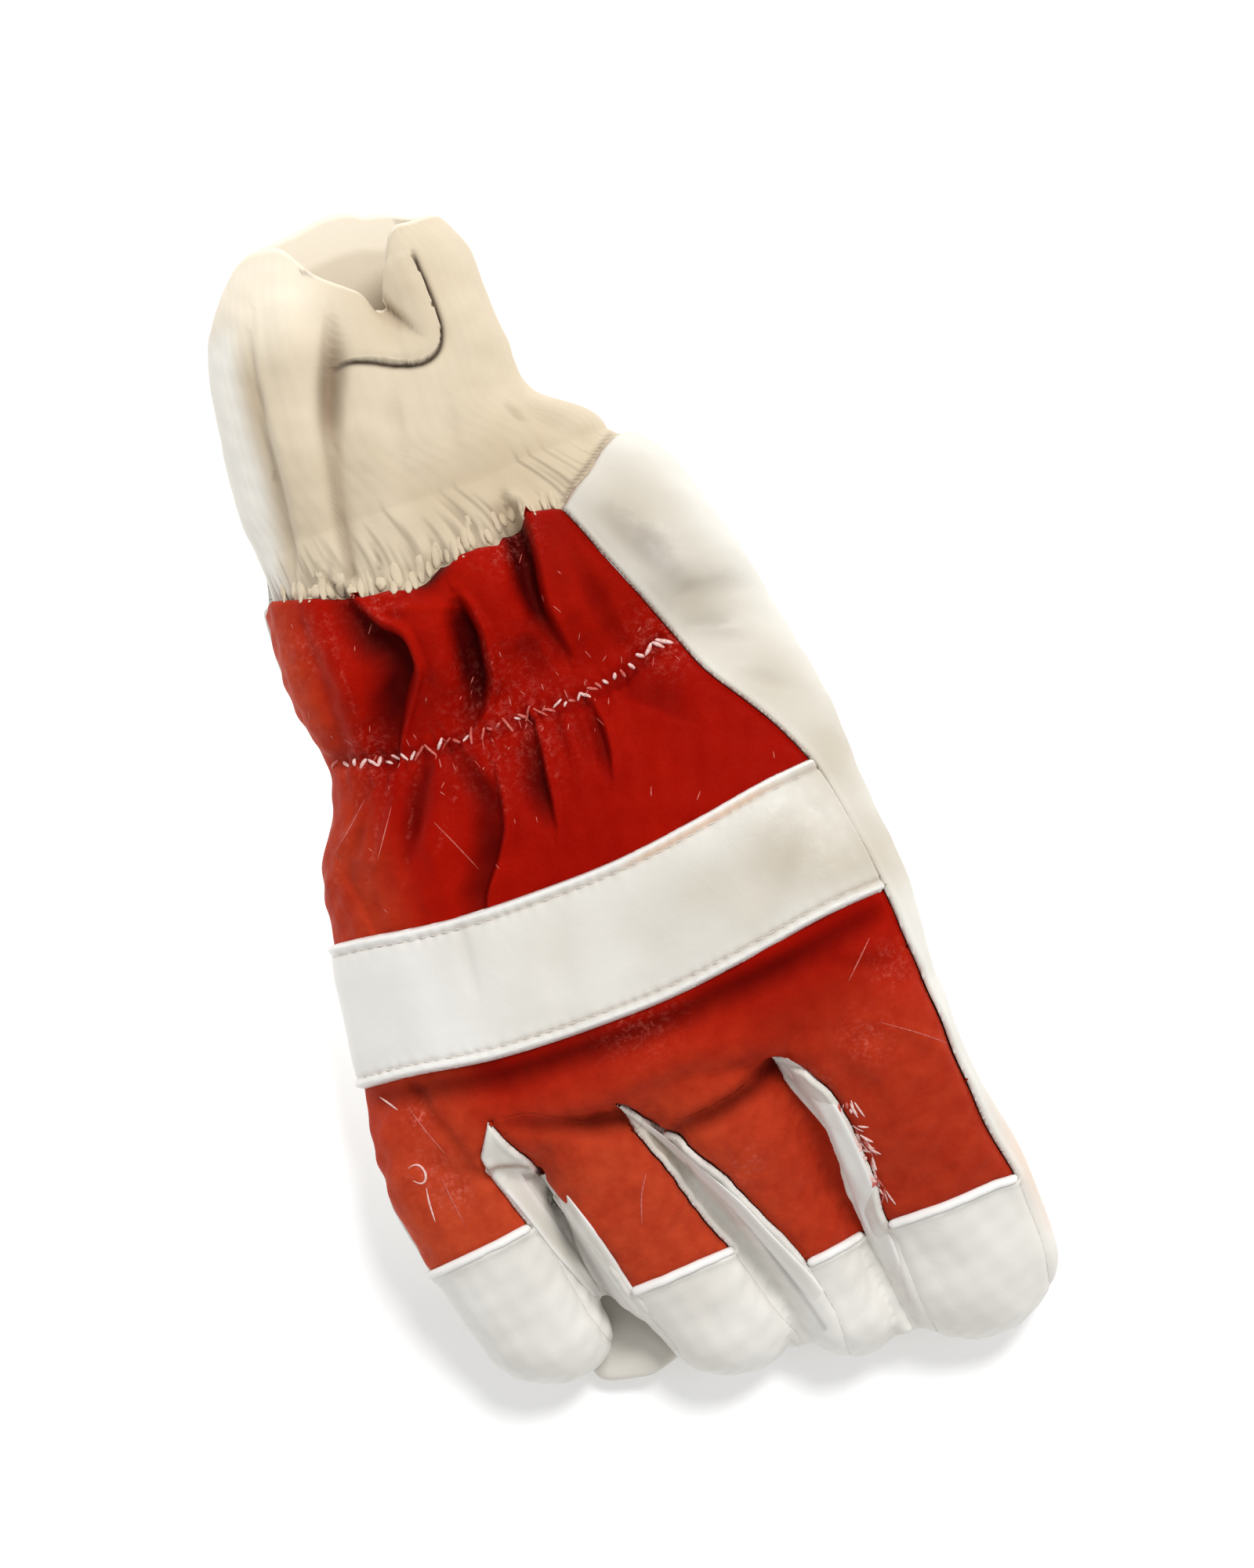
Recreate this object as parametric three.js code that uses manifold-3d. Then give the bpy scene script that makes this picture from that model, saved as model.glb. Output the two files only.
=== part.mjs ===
// A leather and canvas work glove for the right hand, lying palm down with the fingers curled to the
// table. Millimetres, +Z up. The fingers point along -Y, the knit cuff along +Y, and the thumb side is +X.
// The hand, the fingers and the thumb are lofted tubes. Joined, with the same tubes inset by the wall
// taken out, they make one hollow shell, which is cut along the seams into the panels that the real glove
// is sewn from.
import * as THREE from "three";
import { mergeVertices } from "three/addons/utils/BufferGeometryUtils.js";
import Module from "manifold-3d";

const wasm = await Module();
wasm.setup();

// Driving sizes of the hand.
const HAND_LENGTH = 136; // from the wrist edge of the leather to the crotches of the fingers
const HAND_WIDTH = 122; // across the knuckles
const HAND_THICKNESS = 40; // of the stuffed hand, back to palm
const PALM_HEIGHT = 34; // of the middle of the knuckles above the table
const WRIST_Y = 70.5; // the wrist edge of the leather, which puts the glove's middle near the origin

// Driving sizes of the fingers and the thumb. A finger's length runs from the knuckle line to its tip.
const LITTLE_LENGTH = 59.8;
const RING_LENGTH = 71.3;
const MIDDLE_LENGTH = 76.3;
const INDEX_LENGTH = 82;
const FINGER_THICKNESS = 26;
const THUMB_LENGTH = 108; // from inside the heel of the hand to the tip
const THUMB_WIDTH = 34;
const THUMB_THICKNESS = 26;

// Driving sizes of the cuff and the trim.
const CUFF_LENGTH = 82; // from its sewn edge to the furthest point of its mouth
const CUFF_WIDTH = 80; // where it is sewn in
const CUFF_THICKNESS = 40;
const CUFF_TUCK = 8; // how far its sewn end reaches under the canvas
const STRAP_WIDTH = 30;
const STRAP_TOP_Y = -7.6; // the strap's edge towards the cuff
const BACK_EDGE_Y = 57; // the canvas ends here, where the cuff is sewn in
const WELT_WIDTH = 2.4;
const WELT_INSET = 1; // from the sides of the finger's top strip

// Walls and clearances.
const LEATHER_WALL = 1.8;
const KNIT_WALL = 2.6;
const STRAP_WALL = 1.6;
const WELT_WALL = 1.1;
const SEAM_GAP = 0.3; // between panels sewn edge to edge
const LAYER_GAP = 0.3; // between a panel and the one under it
const CUFF_GAP = 0.6; // between the hand's wall and the cuff tucked into it

// How finely the tubes are faceted: points over the top and under the bottom of a section.
const HAND_POINTS = { over: 24, under: 8 };
const FINGER_POINTS = { over: 8, under: 6 };
const THUMB_POINTS = { over: 8, under: 6 };
const CROWDING = 0.35; // how much closer the points of a section lie on its top than at its sides
const FAR = 200; // beyond the glove on every side, for the cutting blocks

// Sections of the hand. along is a share of HAND_LENGTH from the wrist edge, across and halfWidth are
// shares of HAND_WIDTH, height is a share of PALM_HEIGHT, rise and drop are shares of HAND_THICKNESS, roll
// is in degrees.
const HAND_SECTIONS = [
  { along: 0, across: -0.018, halfWidth: 0.33, height: 0.56, rise: 0.49, drop: 0.54, roll: 0 },
  { along: 0.059, across: 0.01, halfWidth: 0.359, height: 0.6, rise: 0.54, drop: 0.58, roll: 0 },
  { along: 0.147, across: 0.023, halfWidth: 0.381, height: 0.67, rise: 0.605, drop: 0.64, roll: 0.5 },
  { along: 0.235, across: 0.036, halfWidth: 0.394, height: 0.7, rise: 0.605, drop: 0.67, roll: 1 },
  { along: 0.338, across: 0.053, halfWidth: 0.397, height: 0.69, rise: 0.5, drop: 0.63, roll: 2 },
  { along: 0.397, across: 0.048, halfWidth: 0.414, height: 0.735, rise: 0.54, drop: 0.56, roll: 4 },
  { along: 0.478, across: 0.029, halfWidth: 0.449, height: 0.79, rise: 0.55, drop: 0.5, roll: 7 },
  { along: 0.574, across: 0.022, halfWidth: 0.464, height: 0.85, rise: 0.54, drop: 0.46, roll: 10 },
  { along: 0.691, across: 0.015, halfWidth: 0.478, height: 0.925, rise: 0.49, drop: 0.41, roll: 12.5 },
  { along: 0.794, across: 0.007, halfWidth: 0.493, height: 0.985, rise: 0.45, drop: 0.375, roll: 13 },
  { along: 0.882, across: -0.009, halfWidth: 0.5, height: 1.015, rise: 0.425, drop: 0.35, roll: 12 },
  { along: 0.934, across: -0.013, halfWidth: 0.496, height: 1.015, rise: 0.375, drop: 0.325, roll: 11 },
  { along: 0.971, across: -0.014, halfWidth: 0.478, height: 1, rise: 0.275, drop: 0.25, roll: 10 },
  { along: 1, across: -0.016, halfWidth: 0.426, height: 0.985, rise: 0.125, drop: 0.125, roll: 9 },
];
const HAND_STATIONS = [
  0, 0.05, 0.1, 0.15, 0.2, 0.25, 0.3, 0.338, 0.385, 0.44, 0.52, 0.61, 0.7, 0.79, 0.87, 0.925, 0.965, 1,
];
const KNUCKLE_SHARE = 0.882; // of HAND_LENGTH, where the finger tubes start inside the hand

// Sections of each finger. along is a share of the finger's length from the knuckle line, across and
// halfWidth are shares of HAND_WIDTH, height is a share of PALM_HEIGHT and halfHeight a share of
// FINGER_THICKNESS.
const FINGERS = {
  little: {
    length: LITTLE_LENGTH,
    sections: [
      { along: 0, across: -0.382, halfWidth: 0.11, height: 0.72, halfHeight: 0.42 },
      { along: 0.2, across: -0.384, halfWidth: 0.123, height: 0.69, halfHeight: 0.46 },
      { along: 0.42, across: -0.371, halfWidth: 0.119, height: 0.6, halfHeight: 0.46 },
      { along: 0.7, across: -0.355, halfWidth: 0.109, height: 0.44, halfHeight: 0.44 },
      { along: 1, across: -0.325, halfWidth: 0.1, height: 0.29, halfHeight: 0.42 },
    ],
  },
  ring: {
    length: RING_LENGTH,
    sections: [
      { along: 0, across: -0.166, halfWidth: 0.089, height: 0.9, halfHeight: 0.44 },
      { along: 0.17, across: -0.156, halfWidth: 0.0955, height: 0.89, halfHeight: 0.49 },
      { along: 0.35, across: -0.138, halfWidth: 0.1045, height: 0.8, halfHeight: 0.48 },
      { along: 0.59, across: -0.113, halfWidth: 0.1225, height: 0.57, halfHeight: 0.46 },
      { along: 0.77, across: -0.068, halfWidth: 0.108, height: 0.41, halfHeight: 0.44 },
      { along: 1, across: -0.038, halfWidth: 0.1, height: 0.29, halfHeight: 0.42 },
    ],
  },
  middle: {
    length: MIDDLE_LENGTH,
    sections: [
      { along: 0, across: 0.058, halfWidth: 0.105, height: 1.06, halfHeight: 0.46 },
      { along: 0.157, across: 0.062, halfWidth: 0.1127, height: 1.06, halfHeight: 0.51 },
      { along: 0.33, across: 0.084, halfWidth: 0.1078, height: 0.97, halfHeight: 0.49 },
      { along: 0.55, across: 0.109, halfWidth: 0.09, height: 0.7, halfHeight: 0.47 },
      { along: 0.76, across: 0.13, halfWidth: 0.08, height: 0.46, halfHeight: 0.45 },
      { along: 1, across: 0.149, halfWidth: 0.07, height: 0.29, halfHeight: 0.42 },
    ],
  },
  index: {
    length: INDEX_LENGTH,
    sections: [
      { along: 0, across: 0.33, halfWidth: 0.14, height: 1.25, halfHeight: 0.48 },
      { along: 0.146, across: 0.332, halfWidth: 0.1475, height: 1.24, halfHeight: 0.53 },
      { along: 0.3, across: 0.341, halfWidth: 0.1393, height: 1.13, halfHeight: 0.52 },
      { along: 0.51, across: 0.355, halfWidth: 0.1459, height: 0.85, halfHeight: 0.5 },
      { along: 0.7, across: 0.366, halfWidth: 0.1475, height: 0.58, halfHeight: 0.48 },
      { along: 1, across: 0.369, halfWidth: 0.13, height: 0.305, halfHeight: 0.44 },
    ],
  },
};
const FINGER_STATIONS = [0, 0.22, 0.44, 0.64, 0.82, 0.93, 0.98, 1];
const FINGER_SQUARENESS = 2.3; // the exponent of a section's curve, where 2 is an ellipse
const TIP_ROUND_SHARE = 0.86; // how far back from the tip its rounding starts, in half widths
const TIP_FLAT_SHARE = 0.97; // how far the rounding goes, where 1 would bring the tip to a point

// Sections of the thumb, in shares of THUMB_LENGTH, HAND_WIDTH, THUMB_WIDTH and THUMB_THICKNESS.
const THUMB_SECTIONS = [
  { along: 0, across: 0.24, halfWidth: 0.34, height: 0.8, halfHeight: 0.4 },
  { along: 0.14, across: 0.27, halfWidth: 0.47, height: 0.7, halfHeight: 0.52 },
  { along: 0.33, across: 0.305, halfWidth: 0.5, height: 0.57, halfHeight: 0.52 },
  { along: 0.52, across: 0.305, halfWidth: 0.48, height: 0.49, halfHeight: 0.49 },
  { along: 0.7, across: 0.28, halfWidth: 0.45, height: 0.42, halfHeight: 0.45 },
  { along: 0.86, across: 0.24, halfWidth: 0.42, height: 0.38, halfHeight: 0.41 },
  { along: 1, across: 0.2, halfWidth: 0.38, height: 0.34, halfHeight: 0.37 },
];
const THUMB_STATIONS = [0, 0.2, 0.4, 0.6, 0.8, 0.93, 0.98, 1];
const THUMB_START = 0.17; // share of HAND_LENGTH from the wrist edge

// Gathers of the canvas. from and to are [across, along] shares of HAND_WIDTH and HAND_LENGTH, width is a
// share of HAND_WIDTH and depth of HAND_THICKNESS. A negative depth stands up as a ridge.
const GATHERS = [
  { from: [-0.3, 0.08], to: [-0.29, 0.3], width: 0.07, depth: -0.05 },
  { from: [-0.17, 0.09], to: [-0.175, 0.31], width: 0.075, depth: 0.13 },
  { from: [-0.1, 0.1], to: [-0.115, 0.3], width: 0.07, depth: -0.04 },
  { from: [-0.035, 0.1], to: [-0.06, 0.33], width: 0.08, depth: 0.17 },
  { from: [0.04, 0.09], to: [0.01, 0.3], width: 0.07, depth: -0.06 },
  { from: [0.115, 0.09], to: [0.075, 0.28], width: 0.075, depth: 0.13 },
  { from: [-0.06, 0.37], to: [-0.14, 0.55], width: 0.11, depth: 0.06 },
  { from: [0.04, 0.36], to: [0.03, 0.5], width: 0.11, depth: 0.06 },
  { from: [-0.27, 0.36], to: [-0.31, 0.52], width: 0.1, depth: 0.05 },
];

// The seam between the canvas and the leather on the index side: [along, across] shares.
const BACK_SEAM = [
  { along: 0, across: 0.34 },
  { along: 0.096, across: 0.176 },
  { along: 0.203, across: 0.221 },
  { along: 0.329, across: 0.274 },
  { along: 0.396, across: 0.302 },
  { along: 0.573, across: 0.41 },
  { along: 0.675, across: 0.43 },
  { along: 0.788, across: 0.446 },
  { along: 0.94, across: 0.452 },
];
const PALM_SEAM_DROP = 0.08; // share of the thickness that the side seam lies under the middle

// Where the top strip of each finger ends at its sides, as shares of its half width, at the crotch, half
// way and at the cap, then at the tip. capShare is where the cap starts, as a share of the finger's
// length.
const STRIPS = {
  little: { left: [-9, -9, -9, -9], right: [0.94, 0.62, 0.6, 0.9], capShare: 0.46 },
  ring: { left: [-0.94, -0.76, -0.64, -0.9], right: [0.94, 0.84, 0.78, 0.9], capShare: 0.642 },
  middle: { left: [-0.94, -0.72, -0.45, -0.85], right: [0.94, 0.9, 0.86, 0.88], capShare: 0.69 },
  index: { left: [-0.94, -0.66, -0.72, -0.85], right: [0.9, 0.88, 0.84, 0.85], capShare: 0.634 },
};
const CROTCH_SHARE = 0.955; // of HAND_LENGTH, where the canvas splits between the fingers
const STRIP_DROP = 0.2; // share of a finger's half height that its top strip reaches under the middle
const STRIP_ROOT = 2; // overlap of a finger's strip with the canvas of the hand

// How far the strap's edges sag towards the fingers, as a share of STRAP_WIDTH, against the place across
// the strap, as a share of HAND_WIDTH.
const STRAP_SAG = [
  { across: -0.6, sag: 0 },
  { across: -0.42, sag: 0.03 },
  { across: -0.25, sag: 0.135 },
  { across: -0.08, sag: 0.17 },
  { across: 0.05, sag: 0.165 },
  { across: 0.2, sag: 0.1 },
  { across: 0.34, sag: 0.02 },
  { across: 0.6, sag: 0 },
];

// Sections of the cuff. along is a share of CUFF_LENGTH from the sewn edge, the rest are shares of
// CUFF_WIDTH and CUFF_THICKNESS.
const CUFF_SECTIONS = [
  { along: 0, across: 0, halfWidth: 0.49, height: 0.45, halfHeight: 0.46 },
  { along: 0.25, across: -0.026, halfWidth: 0.465, height: 0.44, halfHeight: 0.47 },
  { along: 0.33, across: -0.068, halfWidth: 0.445, height: 0.43, halfHeight: 0.48 },
  { along: 0.46, across: -0.105, halfWidth: 0.4, height: 0.42, halfHeight: 0.485 },
  { along: 0.61, across: -0.095, halfWidth: 0.39, height: 0.4, halfHeight: 0.465 },
  { along: 0.76, across: -0.088, halfWidth: 0.375, height: 0.375, halfHeight: 0.435 },
  { along: 0.9, across: -0.07, halfWidth: 0.35, height: 0.34, halfHeight: 0.4 },
  { along: 1, across: -0.058, halfWidth: 0.3, height: 0.31, halfHeight: 0.37 },
];
const CUFF_STATIONS = [0, 0.09, 0.18, 0.25, 0.33, 0.44, 0.56, 0.68, 0.8, 0.91, 1];
const CUFF_BLEND = { from: 0.25, to: 0.44 }; // where the cuff leaves the gathered shape of the hand

// How far the mouth's edge falls short of the furthest point, as a share of CUFF_LENGTH, against the place
// across it, from -1 at the little-finger side to 1 at the thumb side. over is its top edge and under its
// lower edge.
const MOUTH = [
  { side: -1, over: 0.1, under: 0.1 },
  { side: -0.6, over: 0.1, under: 0.03 },
  { side: 0, over: 0.17, under: 0 },
  { side: 0.45, over: 0.3, under: 0.03 },
  { side: 0.75, over: 0.24, under: 0.06 },
  { side: 1, over: 0.1, under: 0.1 },
];

// Folds of the cuff: the places in shares of CUFF_WIDTH and CUFF_LENGTH, the width of CUFF_WIDTH and the
// depth of CUFF_THICKNESS.
const CUFF_FOLDS = [
  { from: [-0.3, 0.3], to: [-0.17, 0.7], width: 0.13, depth: 0.14 },
  { from: [-0.43, 0.3], to: [-0.33, 0.8], width: 0.14, depth: -0.05 },
  { from: [-0.12, 0.68], to: [0.1, 0.6], width: 0.12, depth: 0.12 },
  { from: [0.14, 0.62], to: [0.13, 0.95], width: 0.12, depth: 0.1 },
];

// The materials, with their colours from the photograph.
const material = (name, color, roughness) =>
  new THREE.MeshStandardMaterial({ name, color, roughness, metalness: 0 });
const CANVAS = material("red_canvas", 0xa81f14, 0.7);
const LEATHER = material("white_leather", 0xe2ded3, 0.55);
const KNIT = material("cream_knit", 0xe6d9bd, 0.9);

// A curve through a table: gives every column at a place along it, smooth, or straight from row to row.
function tableCurve(rows, key = "along", straight = false) {
  const sorted = [...rows].sort((a, b) => a[key] - b[key]);
  const columns = Object.keys(rows[0]).filter((name) => name !== key);
  const places = sorted.map((row) => row[key]);
  const values = sorted.flatMap((row) => columns.map((name) => row[name]));
  const Interpolant = straight ? THREE.LinearInterpolant : THREE.CubicInterpolant;
  const curve = new Interpolant(places, values, columns.length, new Float64Array(columns.length));
  return (place) => {
    const at = curve.evaluate(THREE.MathUtils.clamp(place, places[0], places[places.length - 1]));
    return Object.fromEntries(columns.map((name, i) => [name, at[i]]));
  };
}

// How deep the folds of a table press in at one place. Each fold is deepest half way along its line.
function foldDepth(folds, across, along) {
  const point = new THREE.Vector3(across, along, 0);
  return folds.reduce((sum, fold) => {
    const line = new THREE.Line3(new THREE.Vector3(...fold.from, 0), new THREE.Vector3(...fold.to, 0));
    const nearest = line.closestPointToPoint(point, true, new THREE.Vector3());
    const reached = line.closestPointToPointParameter(point, true);
    const off = nearest.distanceTo(point) / fold.width;
    const fade = Math.sin(Math.PI * (0.15 + 0.7 * reached));
    return sum + fold.depth * fade * Math.exp(-4 * off * off);
  }, 0);
}

// One closed section across the glove: a ring squarer than an ellipse, turned by roll, pressed in over its
// top by folds and flattened where it lies on the floor.
function ring(y, points, section, floor, pressIn = () => 0) {
  const { x, z, halfWidth, rise, drop, roll = 0, squareness = 2.4 } = section;
  const count = points.over + points.under;
  return Array.from({ length: count }, (_, i) => {
    const over = i < points.over;
    const step = over ? i / points.over : (i - points.over) / points.under;
    const turn = step + (CROWDING * Math.sin(2 * Math.PI * step)) / (2 * Math.PI);
    const side = (over ? 1 : -1) * Math.cos(Math.PI * turn);
    const bow = Math.pow(Math.max(0, 1 - Math.pow(Math.abs(side), squareness)), 1 / squareness);
    const up = over ? (rise - pressIn(side)) * bow : -drop * bow;
    const flat = new THREE.Vector2(halfWidth * side, up);
    flat.rotateAround(new THREE.Vector2(), THREE.MathUtils.degToRad(roll));
    return new THREE.Vector3(x + flat.x, y, Math.max(z + flat.y, floor));
  });
}

// A manifold-3d solid from a three.js geometry.
function solidOf(geometry) {
  geometry.deleteAttribute("normal");
  geometry.deleteAttribute("uv");
  const merged = mergeVertices(geometry, 1e-4);
  return new wasm.Manifold(
    new wasm.Mesh({
      numProp: 3,
      vertProperties: merged.attributes.position.array,
      triVerts: new Uint32Array(merged.index.array),
    }),
  );
}

// The same from points and the triangles between them.
function solidFrom(points, index) {
  const geometry = new THREE.BufferGeometry();
  geometry.setAttribute("position", new THREE.Float32BufferAttribute(points.flatMap((p) => p.toArray()), 3));
  geometry.setIndex(index);
  return solidOf(geometry);
}

// The triangles between rings that follow each other along -Y.
function skin(rings) {
  const count = rings[0].length;
  const index = [];
  for (let i = 0; i + 1 < rings.length; i++)
    for (let j = 0; j < count; j++) {
      const next = (j + 1) % count;
      const [a, b, c, d] = [i * count + j, i * count + next, (i + 1) * count + next, (i + 1) * count + j];
      index.push(a, b, d, b, c, d);
    }
  return index;
}

// A solid tube through its rings, closed flat at both ends.
function tube(rings) {
  const count = rings[0].length;
  const points = rings.flat();
  const index = skin(rings);
  const middle = (ringPoints) =>
    ringPoints.reduce((sum, p) => sum.add(p), new THREE.Vector3()).divideScalar(count);
  const lastRing = points.length - count;
  const first = points.push(middle(rings[0])) - 1;
  const last = points.push(middle(rings[rings.length - 1])) - 1;
  for (let j = 0; j < count; j++) {
    const next = (j + 1) % count;
    index.push(first, next, j, last, lastRing + j, lastRing + next);
  }
  return solidFrom(points, index);
}

// A wall open at both ends: out along one set of rings and back along the other.
function pipe(outer, inner) {
  const loop = [...outer, ...[...inner].reverse()];
  const count = loop.flat().length;
  return solidFrom(
    loop.flat(),
    skin([...loop, loop[0]]).map((i) => i % count),
  );
}

// A slab across the whole glove between two places along it.
function slice(fromY, toY) {
  const geometry = new THREE.BoxGeometry(2 * FAR, fromY - toY, 2 * FAR);
  geometry.translate(0, (fromY + toY) / 2, 0);
  return solidOf(geometry);
}

const join = (solids) => solids.reduce((sum, solid) => sum.add(solid));

// The largest body of a cut panel, without the slivers left where two edges cross.
const panel = (solid) => solid.decompose().reduce((a, b) => (b.volume() > a.volume() ? b : a));

// The hand. Its wall is inset from the outside by grow, which is negative there and positive over the
// outside.
const handCurve = tableCurve(HAND_SECTIONS);
const handY = (share) => WRIST_Y - share * HAND_LENGTH;
const handShare = (y) => (WRIST_Y - y) / HAND_LENGTH;

function handRing(share, grow) {
  const at = handCurve(share);
  const gather = (side) => foldDepth(GATHERS, at.across + at.halfWidth * side, share) * HAND_THICKNESS;
  const section = {
    x: at.across * HAND_WIDTH,
    z: at.height * PALM_HEIGHT,
    halfWidth: at.halfWidth * HAND_WIDTH + grow,
    rise: at.rise * HAND_THICKNESS + grow,
    drop: at.drop * HAND_THICKNESS + grow,
    roll: at.roll,
  };
  return ring(handY(share), HAND_POINTS, section, Math.max(0, -grow), gather);
}

// The hand's tube. The inset one runs on past the wrist, which leaves the shell open there.
function handTube(grow) {
  const rings = HAND_STATIONS.map((share) => handRing(share, grow));
  if (grow < 0) rings.unshift(rings[0].map((p) => p.clone().setY(WRIST_Y + 1)));
  rings[rings.length - 1].forEach((p) => (p.y -= grow));
  return tube(rings);
}

// The fingers and the thumb: the middle and half sizes at a share of the length, in millimetres.
const fingerNames = Object.keys(FINGERS);
const fingerCurves = Object.fromEntries(
  fingerNames.map((name) => [name, tableCurve(FINGERS[name].sections)]),
);
const fingerY = (name, share) => handY(KNUCKLE_SHARE) - share * FINGERS[name].length;

function fingerAt(name, share) {
  const at = fingerCurves[name](share);
  return {
    y: fingerY(name, share),
    x: at.across * HAND_WIDTH,
    z: at.height * PALM_HEIGHT,
    halfWidth: at.halfWidth * HAND_WIDTH,
    halfHeight: at.halfHeight * FINGER_THICKNESS,
  };
}

const thumbCurve = tableCurve(THUMB_SECTIONS);

function thumbAt(share) {
  const at = thumbCurve(share);
  return {
    y: handY(THUMB_START) - share * THUMB_LENGTH,
    x: at.across * HAND_WIDTH,
    z: at.height * THUMB_THICKNESS,
    halfWidth: at.halfWidth * THUMB_WIDTH,
    halfHeight: at.halfHeight * THUMB_THICKNESS,
  };
}

// A tube with a round closed tip.
function digitTube(stations, placeAt, points, grow) {
  const tipY = placeAt(1).y - grow;
  const rounding = TIP_ROUND_SHARE * placeAt(1).halfWidth;
  const rings = stations.map((share) => {
    const at = placeAt(share);
    const y = share === 1 ? tipY : at.y;
    const reached = THREE.MathUtils.clamp((tipY + rounding - y) / rounding, 0, TIP_FLAT_SHARE);
    const shrink = Math.sqrt(1 - reached * reached);
    const section = {
      x: at.x,
      z: at.z,
      halfWidth: (at.halfWidth + grow) * shrink,
      rise: (at.halfHeight + grow) * shrink,
      drop: (at.halfHeight + grow) * shrink,
      squareness: FINGER_SQUARENESS,
    };
    return ring(y, points, section, Math.max(0, -grow));
  });
  return tube(rings);
}

const fingerTube = (name, grow) =>
  digitTube(FINGER_STATIONS, (share) => fingerAt(name, share), FINGER_POINTS, grow);
const thumbTube = (grow) => digitTube(THUMB_STATIONS, thumbAt, THUMB_POINTS, grow);
const fourFingers = (grow) => join(fingerNames.map((name) => fingerTube(name, grow)));

// The whole leather and canvas shell, before it is cut into panels.
const outside = join([handTube(0), fourFingers(0), thumbTube(0)]);
const inside = join([handTube(-LEATHER_WALL), fourFingers(-LEATHER_WALL), thumbTube(-LEATHER_WALL)]);
const shell = outside.subtract(inside);

// Cutting blocks. Each row is a quadrilateral from left to right, open above and with its own low edge. grow
// widens the block on every side, so that a panel and its neighbour are cut with a gap between them.
function block(rows, grow) {
  const last = rows.length - 1;
  const corner = (x, y, z) => new THREE.Vector3(x, y, z);
  const rings = rows.map((row, i) => {
    const y = row.y + (i === 0 ? grow : 0) - (i === last ? grow : 0);
    return [
      corner(row.right + grow, y, row.lowRight - grow),
      corner(row.right + grow, y, FAR),
      corner(row.left - grow, y, FAR),
      corner(row.left - grow, y, row.lowLeft - grow),
    ];
  });
  return tube(rings);
}

// The seam on the index side, and the height at which the panels of the back meet the palm all round.
const backSeam = tableCurve(BACK_SEAM, "along", true);

function seamHeight(share, x) {
  const at = handCurve(share);
  const slope = Math.tan(THREE.MathUtils.degToRad(at.roll));
  return at.height * PALM_HEIGHT + (x - at.across * HAND_WIDTH) * slope - PALM_SEAM_DROP * HAND_THICKNESS;
}

function backRows(fromShare, toShare) {
  const between = BACK_SEAM.map((row) => row.along).filter((share) => share > fromShare && share < toShare);
  return [fromShare, ...between, toShare].map((share) => {
    const right = backSeam(share).across * HAND_WIDTH;
    return {
      y: handY(share),
      left: -FAR / 2,
      right,
      lowLeft: seamHeight(share, -FAR / 2),
      lowRight: seamHeight(share, right),
    };
  });
}

// The rows over one finger's top strip, from inside the hand to past its tip.
function stripRows(name) {
  const strip = STRIPS[name];
  const crotch = ((CROTCH_SHARE - KNUCKLE_SHARE) * HAND_LENGTH) / FINGERS[name].length;
  const places = [crotch, (crotch + strip.capShare) / 2, strip.capShare, 1.1];
  return places.map((share, i) => {
    const at = fingerAt(name, share);
    const low = at.z - STRIP_DROP * at.halfHeight;
    return {
      y: at.y,
      left: at.x + strip.left[i] * at.halfWidth,
      right: at.x + strip.right[i] * at.halfWidth,
      lowLeft: low,
      lowRight: low,
    };
  });
}

// The rows between the strips of two neighbours.
function gussetRows(leftName, rightName) {
  const onLeft = tableCurve(stripRows(leftName), "y", true);
  const onRight = tableCurve(stripRows(rightName), "y", true);
  const rounded = (row) => Number(row.y.toFixed(3));
  const places = new Set([...stripRows(leftName), ...stripRows(rightName)].map(rounded));
  return [...places]
    .sort((a, b) => b - a)
    .map((y) => {
      const low = Math.min(onLeft(y).lowRight, onRight(y).lowLeft);
      return { y, left: onLeft(y).right, right: onRight(y).left, lowLeft: low, lowRight: low };
    });
}

const GUSSETS = [
  ["little", "ring"],
  ["ring", "middle"],
  ["middle", "index"],
];
const half = SEAM_GAP / 2;
const capY = (name) => fingerY(name, STRIPS[name].capShare);
const strip = (name, grow) => block(stripRows(name), grow);
const beforeCap = (name) => slice(FAR, capY(name) + half);
const pastCap = (name) => slice(capY(name) - half, -FAR);
const gusset = ([a, b], grow) => block(gussetRows(a, b), grow);

// The canvas: the hand's back in one piece with the backs of the little and index fingers, and two middle
// backs.
const crotchY = handY(CROTCH_SHARE);

function outerStrip(name, grow) {
  const rows = stripRows(name);
  return block([{ ...rows[0], y: rows[0].y + STRIP_ROOT }, ...rows], grow);
}

const backBlock = block(backRows(handShare(BACK_EDGE_Y), CROTCH_SHARE), -half);
const outerBacks = ["little", "index"].map((name) => outerStrip(name, -half).intersect(beforeCap(name)));
const backHand = shell.intersect(join([backBlock, ...outerBacks]));
const fingerBack = (name) =>
  shell.intersect(strip(name, -half)).intersect(beforeCap(name)).intersect(slice(crotchY - half, -FAR));

// The leather: a cap on each fingertip, a welt over its edge, the gussets, the palm and the thumb.
const cap = (name) => shell.intersect(strip(name, -half)).intersect(pastCap(name));
const welt = (name) =>
  fingerTube(name, LAYER_GAP + WELT_WALL)
    .subtract(fingerTube(name, LAYER_GAP))
    .intersect(strip(name, -WELT_INSET))
    .intersect(slice(capY(name) + WELT_WIDTH / 2, capY(name) - WELT_WIDTH / 2));

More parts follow.
